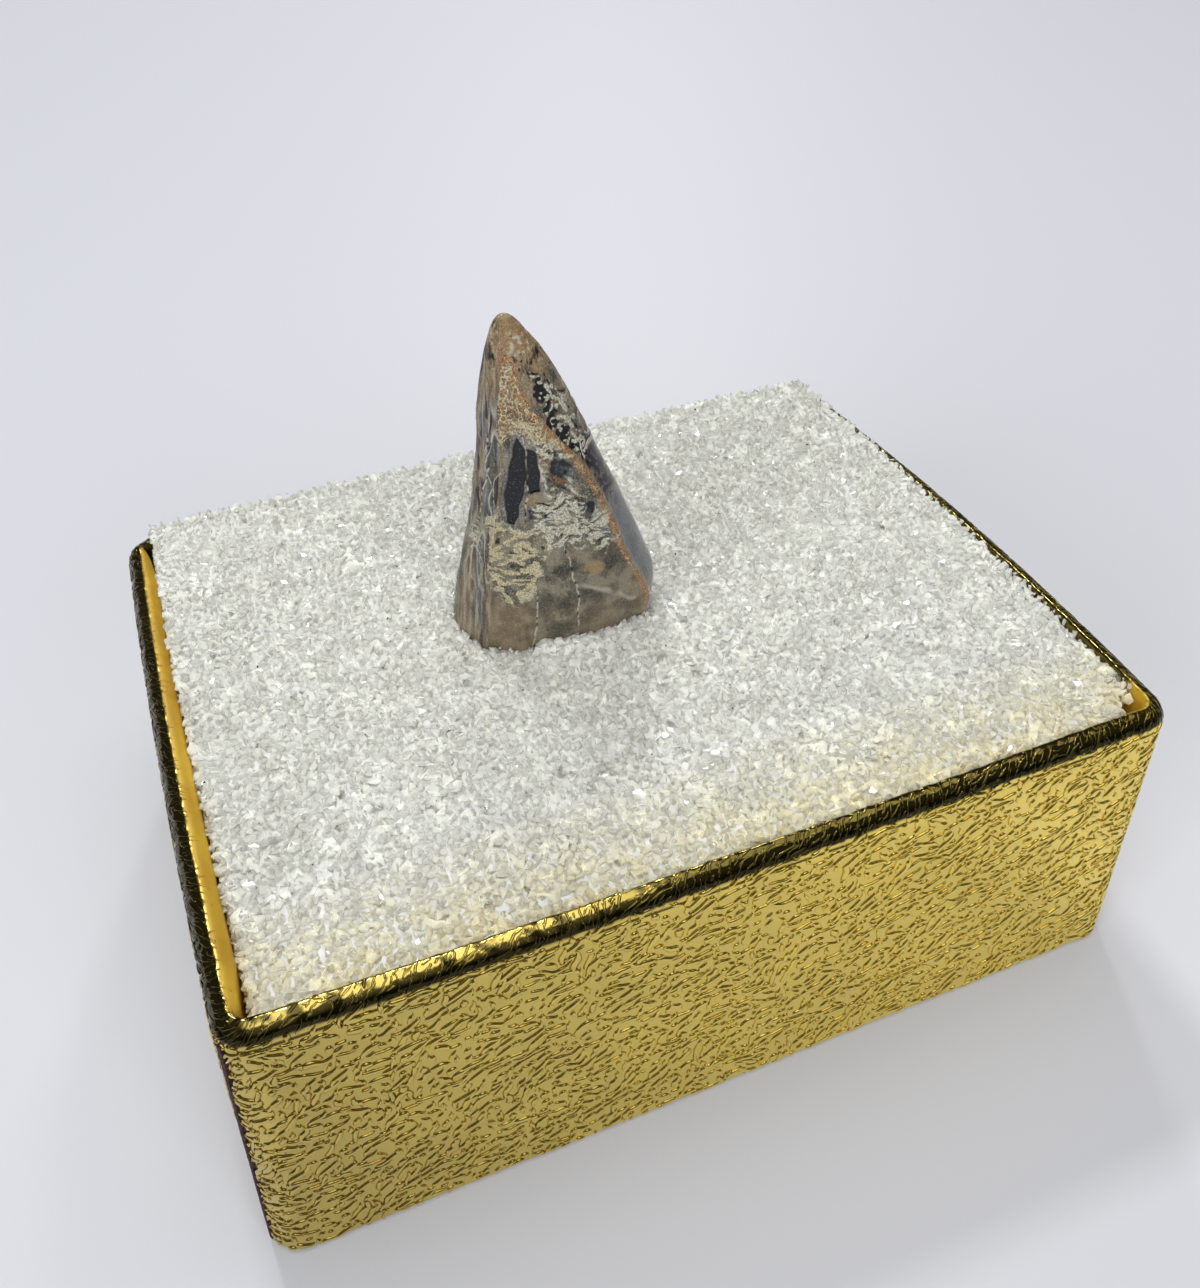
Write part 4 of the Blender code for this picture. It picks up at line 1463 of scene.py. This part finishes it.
across, up = fray(tooth_spots, 0.12, 0.6, 1.7)
wild_across, wild_up = fray(tooth_spots, 0.45, 1.1, 8.8)
FAN_CENTRE = (-7.2, 26.2)
FAN_STRETCH = 3.2
fan_x, fan_z = wild_across - FAN_CENTRE[0], wild_up - FAN_CENTRE[1]
fan_turn = np.arctan2(fan_z, fan_x) * FAN_STRETCH
fan_reach = np.hypot(fan_x, fan_z)
level_strands = np.maximum(strands(wild_across, wild_up, 0.75, 0.22, 2.0),
                           0.8 * strands(wild_across + 0.3 * wild_up, wild_up, 0.34, 0.19, 5.0))
fan_strands = np.maximum(strands(fan_reach, fan_turn, 0.95, 0.34, 9.0),
                         0.8 * strands(wild_across, wild_up, 0.45, 0.28, 12.0))
down_slope, over_slope = wild_up - 1.1 * wild_across, wild_across + 0.6 * wild_up
slope_strands = np.maximum(strands(down_slope, over_slope, 0.62, 0.22, 14.0),
                           0.8 * strands(wild_across, wild_up, 0.26, 0.26, 17.0))
streaks = strands(up, across, 2.2, 0.20, 19.0)
wide_streaks = strands(up, across, 3.4, 0.55, 23.0)



def inside_any(shapes, softness, x, z):
    return np.maximum.reduce([inside_outline(x, z, shape, softness) for shape in shapes])


lens = inside_any(GLOSSY_LENSES, 0.12, across, up) * front
patch = inside_any(DARK_PATCHES, 0.5, wild_across, wild_up) * front
nets = np.stack([inside_outline(wild_across, wild_up, shape, 0.8) for shape in CREAM_NETS])
upper_net, lobe_net, high_net = nets * front
flank_net = inside_outline(wild_across, wild_up, CREAM_FLANK, 0.4) * front
granular = inside_outline(across, up, GRANULAR_TOP, 0.3) * front
white_patch = inside_outline(across, up, WHITE_TIP_PATCH, 0.3) * front
spots = np.maximum.reduce([
    ramp(np.hypot(wild_across - x, 0.7 * (wild_up - z)) + 0.5 * size * bead_noise, size * 1.7, size * 0.7)
    for x, z, size in FLANK_SPOTS]) * right_side
streak = ramp(distance_to_line(wild_across, wild_up, FLANK_STREAK), 1.0, 0.25) * right_side
streak *= ramp(z_mm + 1.2 * mid_noise, 27.6, 30.0)
ovals = np.maximum.reduce([ramp(np.hypot((across - x) / half_x, (up - z) / half_z), 1.25, 0.65)
                           for x, z, half_x, half_z in TAN_OVALS]) * front
low_patch = inside_outline(wild_across, wild_up, DARK_LOW_PATCH, 0.9) * front
crack_lines = np.minimum.reduce([distance_to_line(across, up, line) for line in PALE_CRACKS])
crack_path = ramp(crack_lines, 0.065, 0.02) * front
crack = crack_path * ramp(fine_noise, -0.25, 0.10)
lens_rim = inside_any(GLOSSY_LENSES, 1.3, wild_across, wild_up) * (1 - lens) * between
pale_streak = ramp(distance_to_line(across, up, PALE_STREAK), 0.22, 0.05) * front * ramp(mid_noise, -0.8, 0.0)
keel_band = ramp(np.abs(from_right_keel), 0.42, 0.18) * front
left_band = ramp(np.abs(from_left_keel + 0.05), 0.20, 0.06) * front
tip_zone = ramp(z_mm + 0.5 * mid_noise, 37.9, 38.6)
tip_mottle = ramp(z_mm + 0.5 * mid_noise, 36.3, 37.2)
polished = between * ramp(z_mm + 0.4 * mid_noise, 27.0, 25.8) * (1 - lobe_net)
base_band = ramp(z_mm + 0.5 * mid_noise, 23.6, 22.2)
print("share of the front between the keels:", round(float(between.mean() / front.mean()), 2))

# %% Colour masks
far_side = 1 - front
far_net = far_side * ramp(broad_noise + 0.5 * mid_noise, 0.05, 0.35) * ramp(z_mm, 37.5, 35.5)
web_noise = noise_field(np.column_stack([across, up * 0.42, tooth_plain[:, 1] / MM]), 1.15, 31.0)
web = left_side * ramp(np.abs(web_noise), 0.05, 0.012) * ramp(z_mm, 22.0, 25.0) * ramp(z_mm, 35.8, 34.0)
left_net = left_side * ramp(z_mm + mid_noise, 28.8, 27.6) * ramp(z_mm + mid_noise, 24.9, 26.0)
left_net *= ramp(s_mm, -6.0, -6.6)
right_tip = right_side * ramp(z_mm + 0.6 * mid_noise, 36.4, 37.3)
left_streaked = left_side * ramp(streaks + 0.6 * wide_streaks, 0.02, 0.42)

cream = np.maximum.reduce([
    upper_net * ramp(level_strands, -0.02, 0.16),
    lobe_net * ramp(fan_strands, 0.05, 0.20),
    high_net * ramp(level_strands + 0.4 * fine_noise, -0.05, 0.25) * 0.85,
    flank_net * ramp(slope_strands, 0.02, 0.2) * (1 - spots),
    granular * ramp(np.abs(bead_noise), 0.26, 0.08) * 0.85,
    lobe_net * ramp(bead_noise, 0.05, 0.25) * ramp(z_mm, 26.5, 28.0) * 0.7,
    lens_rim * ramp(bead_noise, -0.25, 0.15) * 0.8,
    keel_band * ramp(np.abs(bead_noise), 0.12, 0.04) * 0.60 * (1 - tip_zone),
    spots * ramp(bead_noise, 0.05, 0.25) * 0.75,
    front * tip_mottle * ramp(bead_noise + 0.6 * mid_noise, 0.22, 0.5) * 0.45,
    left_net * ramp(level_strands, 0.05, 0.25) * 0.7,
    far_net * ramp(slope_strands, 0.02, 0.2) * 0.85,
]) * (1 - lens) * (1 - 0.75 * patch) * (0.86 + 0.14 * ramp(grit_noise, -0.4, 0.1))
yellow = np.maximum.reduce([lobe_net, granular, keel_band])
orange = np.maximum.reduce([
    keel_band * ramp(fine_noise, -0.6, 0.0) * 0.85 * (1 - 0.6 * tip_zone),
    granular * 0.48,
    left_band * ramp(z_mm, 31.0, 36.0) * 0.75 * (1 - 0.5 * tip_zone),
    tip_zone * 0.35 * ramp(mid_noise + 0.5 * streaks, 0.05, 0.4),
    right_tip * 0.42 * ramp(mid_noise, 0.0, 0.4),
    left_side * ramp(from_left_keel, -0.9, -1.7) * ramp(z_mm + 0.5 * mid_noise, 33.5, 35.5) * 0.36,
    high_net * ramp(mid_noise, 0.15, 0.5) * 0.40,
    upper_net * ramp(mid_noise, 0.25, 0.6) * 0.30,
]) * (1 - lens)
tan = np.maximum.reduce([
    ovals * 0.75,
    left_side * ramp(z_mm + 0.7 * broad_noise, 34.8, 36.2) * (0.65 + 0.3 * ramp(wide_streaks, -0.3, 0.2)),
    left_side * ramp(z_mm + 1.5 * broad_noise, 26.5, 24.5) * ramp(from_left_keel, -1.6, -2.2) * 0.7,
    tip_zone * 0.55,
    right_tip * 0.9,
    base_band * (0.15 + 0.22 * ramp(broad_noise, -0.2, 0.4)) * front,
    right_side * ramp(slope_strands + 0.4 * mid_noise, 0.0, 0.3) * ramp(z_mm, 28.5, 30.5) * 0.6,
    left_side * ramp(wide_streaks + 0.4 * streaks, 0.0, 0.45) * 0.75,
    left_band * 0.7,
    polished * ramp(broad_noise + 0.5 * mid_noise, -0.1, 0.6) * 0.42,
    far_side * ramp(broad_noise, 0.1, 0.5) * 0.5,
])
ink = np.maximum.reduce([
    lens,
    patch * (0.55 + 0.3 * ramp(fine_noise, 0.1, -0.3)),
    spots * 0.85,
    crack_path * ramp(fine_noise, -0.05, -0.30) * 0.75,
    streak * (0.50 + 0.5 * ramp(slope_strands, 0.25, 0.0)),
    low_patch * (1 - ovals) * 0.45,
    polished * ramp(broad_noise + 0.6 * mid_noise + 0.3 * bead_noise, 0.1, -0.6) * 0.42,
    left_streaked * ramp(z_mm, 37.0, 34.5) * (0.45 + 0.4 * ramp(z_mm, 27.0, 30.0)),
    left_side * ramp(np.abs(from_left_keel + 0.55), 0.35, 0.1) * ramp(z_mm, 36.0, 33.0) * 0.5,
    right_side * ramp(slope_strands, 0.0, -0.3) * ramp(z_mm, 29.5, 31.0) * 0.8,
    (upper_net + high_net) * ramp(level_strands, -0.05, -0.35) * 0.75,
    lobe_net * ramp(fan_strands, -0.05, -0.35) * 0.6,
    front * tip_mottle * ramp(mid_noise + 0.5 * bead_noise, 0.10, -0.25) * 0.5,
    far_side * ramp(broad_noise + 0.4 * mid_noise, -0.1, -0.5) * 0.7,
    front * ramp(z_mm, 35.5, 36.8) * ramp(mid_noise + 0.5 * streaks, 0.05, -0.4) * 0.65,
    right_side * ramp(z_mm, 34.5, 36.5) * ramp(mid_noise, 0.0, -0.4) * 0.5,
]) * (1 - keel_band) * (1 - granular)
blue = np.maximum.reduce([
    left_side * ramp(wide_streaks, 0.1, -0.35) * ramp(z_mm + broad_noise, 35.0, 32.5) * 0.7,
    right_side * ramp(z_mm + 1.2 * mid_noise + broad_noise, 30.5, 27.0) * 0.8,
    upper_net * ramp(mid_noise, -0.1, -0.5) * 0.8,
    high_net * ramp(mid_noise, 0.2, -0.3) * 0.7,
    patch * 0.4,
    lens_rim * 0.7,
    white_patch * 0.8,
    far_side * ramp(mid_noise, 0.0, 0.5) * 0.4,
])
pale = np.maximum.reduce([
    crack * 0.85,
    pale_streak * 0.42,
    white_patch * ramp(bead_noise, -0.1, 0.3) * 0.6,
    web * 0.70,
    left_side * ramp(streaks, 0.30, 0.55) * ramp(wide_streaks, -0.1, -0.4) * 0.5,
])
gloss = np.clip(np.maximum.reduce([lens, patch * 0.8, polished, streak, right_side * ramp(z_mm, 31, 29),
                                   tip_zone * 0.8, left_side * 0.6, far_side * 0.5]) - 0.8 * cream, 0, 1)
masks = {"left": left_side, "cream": cream, "yellow": yellow, "orange": orange, "tan": tan, "ink": ink,
         "blue": blue, "pale": pale, "gloss": gloss, "lens": lens}
print("masks:", ", ".join(f"{name} {values.mean():.2f}" for name, values in masks.items()))

# %% [markdown]
# ### Relief of the tooth
#
# The right keel stands proud and is set with fine beads, worn flat near the tip. The cream crust lies on
# the enamel like a thin raised net, the cracks are cut in, and the left face is fluted from root to tip. The
# foot is broken off along a ragged edge, which goes deeper into the grains at the left.

# %% Tooth's relief and mesh
KEEL_HALF = 0.42                                     # all in millimetres
KEEL_HEIGHT = 0.20
BEAD_HEIGHT = 0.075
BEAD_SIZE = 0.34
LEFT_KEEL_HALF = 0.30
LEFT_KEEL_HEIGHT = 0.11
FLUTE_DEPTH = 0.07
CRUST_HEIGHT = 0.050
CRACK_DEPTH = 0.05
TIP_FADE = 0.15                                      # the share of the height where the relief fades out
FOOT_EDGE = ((-9.5, 19.15), (-7.8, 19.15), (-5.6, 19.3), (-3.95, 19.1), (-3.75, 19.75), (-1.6, 20.0),
             (0.6, 20.1), (2.4, 19.5), (4.0, 19.4))


def tooth_relief():
    """How far each point stands out from the plain section, in millimetres."""
    fade = np.minimum((1 - tooth_share) / TIP_FADE, 1.0)
    beads = noise_field(tooth_spots, BEAD_SIZE * MM, 41.0)
    flutes = (0.5 + 0.5 * np.cos(from_left_keel * 3.6)) * ramp(from_left_keel, -0.2, -0.9)
    relief = (KEEL_HEIGHT + BEAD_HEIGHT * beads) * bell(from_right_keel, KEEL_HALF)
    relief += LEFT_KEEL_HEIGHT * bell(from_left_keel, LEFT_KEEL_HALF)
    relief -= FLUTE_DEPTH * left_side * flutes
    relief += 0.030 * left_side * streaks
    relief += cream * (CRUST_HEIGHT + 0.02 * bead_noise + 0.012 * grit_noise)
    relief += (granular + white_patch) * 0.035 * bead_noise
    relief -= 0.035 * lens + 0.03 * spots + 0.03 * patch
    relief -= CRACK_DEPTH * ramp(crack_lines, 0.10, 0.0) * front
    relief += 0.05 * mid_noise * (1 - 0.8 * gloss) + 0.07 * broad_noise
    relief += 0.012 * fine_noise * (1 - gloss)
    return relief * fade


def make_tooth_mesh(material):
    turn = np.radians(tooth_angle)
    outward = np.stack([np.cos(turn) * TOOTH_DEPTH_SHARE, np.sin(turn)], axis=-1)
    outward /= np.linalg.norm(outward, axis=1)[:, None]
    flat = tooth_plain + outward * (tooth_relief() * MM)[:, None]
    edge = np.array(FOOT_EDGE)
    foot = np.interp(s_mm, edge[:, 0], edge[:, 1]) * MM + 0.12 * MM * noise_field(tooth_spots, 0.5 * MM, 2.2)
    foot = TOOTH_FOOT + (foot - TOOTH_FOOT) * ramp(tooth_angle, 20, 0) * ramp(tooth_angle, -175, -165)
    height = np.maximum(tooth_height, foot + 0.1 * (tooth_height - TOOTH_FOOT))
    cos, sin = math.cos(TOOTH_TURN), math.sin(TOOTH_TURN)
    x = flat[:, 0] * cos - flat[:, 1] * sin + TRAY_MIDDLE[0]
    y = flat[:, 0] * sin + flat[:, 1] * cos + TRAY_MIDDLE[1]
    tip = (TOOTH_TIP_REACH * cos - TIP_CENTRE_DEPTH * sin + TRAY_MIDDLE[0],
           TOOTH_TIP_REACH * sin + TIP_CENTRE_DEPTH * cos + TRAY_MIDDLE[1], TOOTH_TIP)
    points = np.concatenate([np.stack([x, y, height], axis=1), [tip]])
    faces = grid_faces(TOOTH_RINGS, TOOTH_SIDES, closed=True)
    last_ring = (TOOTH_RINGS - 1) * TOOTH_SIDES
    faces += [(last_ring + side, last_ring + (side + 1) % TOOTH_SIDES, len(points) - 1)
              for side in range(TOOTH_SIDES)]
    faces.append(tuple(reversed(range(TOOTH_SIDES))))
    tooth = object_from_arrays("fossil_tooth", points, faces, material)
    for name, values in masks.items():
        store_mask(tooth, name, np.append(values, values[-1]))
    return tooth


# %% [markdown]
# The finish is painted in layers, from the grey-brown enamel up to the glossy black windows in it. Each layer
# lies where its mask says, and fine texture eats into the mask's edge so that it looks grown. The same masks
# make the lenses and the low part polished, and the crust dull.

# %% Finish of the tooth
FIBRE_WAVES = 3600.0
FIBRE_STRETCH = 0.06                                 # along the tooth the fibres are this much slower


def make_tooth_finish():
    material, tree, shader = new_finish("fossil_enamel")
    mask = {name: read_mask(tree, name) for name in masks}
    fine = add_unevenness(tree, 5200, 4.0, 0.36, 0.64)
    grit = add_unevenness(tree, 11000, 3.0, 0.38, 0.62)
    coarse = add_unevenness(tree, 900, 4.0, 0.40, 0.60)
    place = add_node(tree, "ShaderNodeTexCoord").outputs["Object"]
    fibre = add_node(tree, "ShaderNodeTexNoise", {
        "Vector": vector_math(tree, "MULTIPLY", place, (1.0, 1.0, FIBRE_STRETCH)),
        "Scale": FIBRE_WAVES, "Detail": 3.0}).outputs["Fac"]
    fine_height, grit_height = fine.outputs["Height"], grit.outputs["Height"]

    def crisp(value, texture, low, high):
        """A soft mask cut sharp, with the texture eating into its edge."""
        shifted = calculate(tree, "MULTIPLY_ADD", texture, 0.5, calculate(tree, "SUBTRACT", value, 0.25))
        return stretch(tree, shifted, low, high)

    def only_where(region, value, strength=1.0):
        """The value, only in this region and this strong."""
        return multiply(tree, multiply(tree, value, region), strength)

    calmer = stretch(tree, mask["gloss"], 0, 1, 0.55, 0.22)
    quieter = stretch(tree, mask["gloss"], 0, 1, 0.45, 0.15)
    rust = blend_colours(tree, grit.outputs["Mask"], (116, 83, 54), (186, 146, 102))
    crust = blend_colours(tree, mask["yellow"], (216, 214, 196), (214, 202, 164))
    # Darker grit in the crust: partly its own tone, partly painted shade for its fine relief.
    crust = blend_colours(tree, stretch(tree, grit_height, 0.58, 0.42, 0.0, 0.75), crust, (128, 122, 104))
    layers = (                                       # from the lowest to the topmost: where, and which colour
        (mask["blue"], (104, 112, 122)),
        (mask["tan"], (152, 126, 90)),
        # Pale specks on the duller enamel: painted glints.
        (only_where(calmer, stretch(tree, grit_height, 0.50, 0.66)), (196, 190, 172)),
        (only_where(quieter, stretch(tree, fibre, 0.47, 0.36)), (52, 48, 42)),
        (only_where(mask["left"], stretch(tree, fibre, 0.50, 0.42), 0.42), (44, 44, 48)),
        (only_where(mask["left"], stretch(tree, fibre, 0.54, 0.62), 0.40), (200, 186, 158)),
        (crisp(mask["ink"], fine_height, 0.30, 0.62), (30, 30, 34)),
        (crisp(mask["orange"], grit_height, 0.20, 0.75), rust),
        (crisp(mask["cream"], fine_height, 0.32, 0.58), crust),
        (mask["pale"], (212, 204, 188)),
        (multiply(tree, mask["lens"], 0.92), (13, 12, 14)),
        # Faint bluish specks in the lenses: painted glints.
        (only_where(mask["lens"], stretch(tree, grit_height, 0.60, 0.68), 0.3), (132, 142, 170)),
    )
    colour = blend_colours(tree, coarse.outputs["Mask"], (74, 71, 63), (134, 127, 109))
    for where, over in layers:
        colour = blend_colours(tree, where, colour, over)
    tree.links.new(colour, shader.inputs["Base Color"])
    dull = stretch(tree, fine.outputs["Mask"], 0, 1, 0.50, 0.72)
    polish = add_node(tree, "ShaderNodeMix", {0: mask["gloss"], 2: dull, 3: 0.12}, data_type="FLOAT")
    tree.links.new(polish.outputs[0], shader.inputs["Roughness"])
    calm = stretch(tree, mask["gloss"], 0, 1, 1.0, 0.15)
    add_bump(tree, shader, multiply(tree, fine_height, calm), 0.7, 0.08 * MM)
    return material


fossil_tooth = make_tooth_mesh(make_tooth_finish())
report_triangles([fossil_tooth])

# %% [markdown]
# ## Hand the pieces to the frame
#
# Each piece rides with the one rigid body, and the solid that it stands for is hidden. The shapes
# that were only scattered are removed first.

# %% Ride and replace
for collection in (line_shapes, grain_shapes):
    for shape in list(collection.objects):
        bpy.data.objects.remove(shape, do_unlink=True)
    bpy.data.collections.remove(collection)

for piece in foil_pieces:
    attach(piece, "root")
    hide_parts("foil_wrap")
for piece in grain_pieces:
    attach(piece, "root")
    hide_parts("crystal_bed")
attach(fossil_tooth, "root")
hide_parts("tooth")
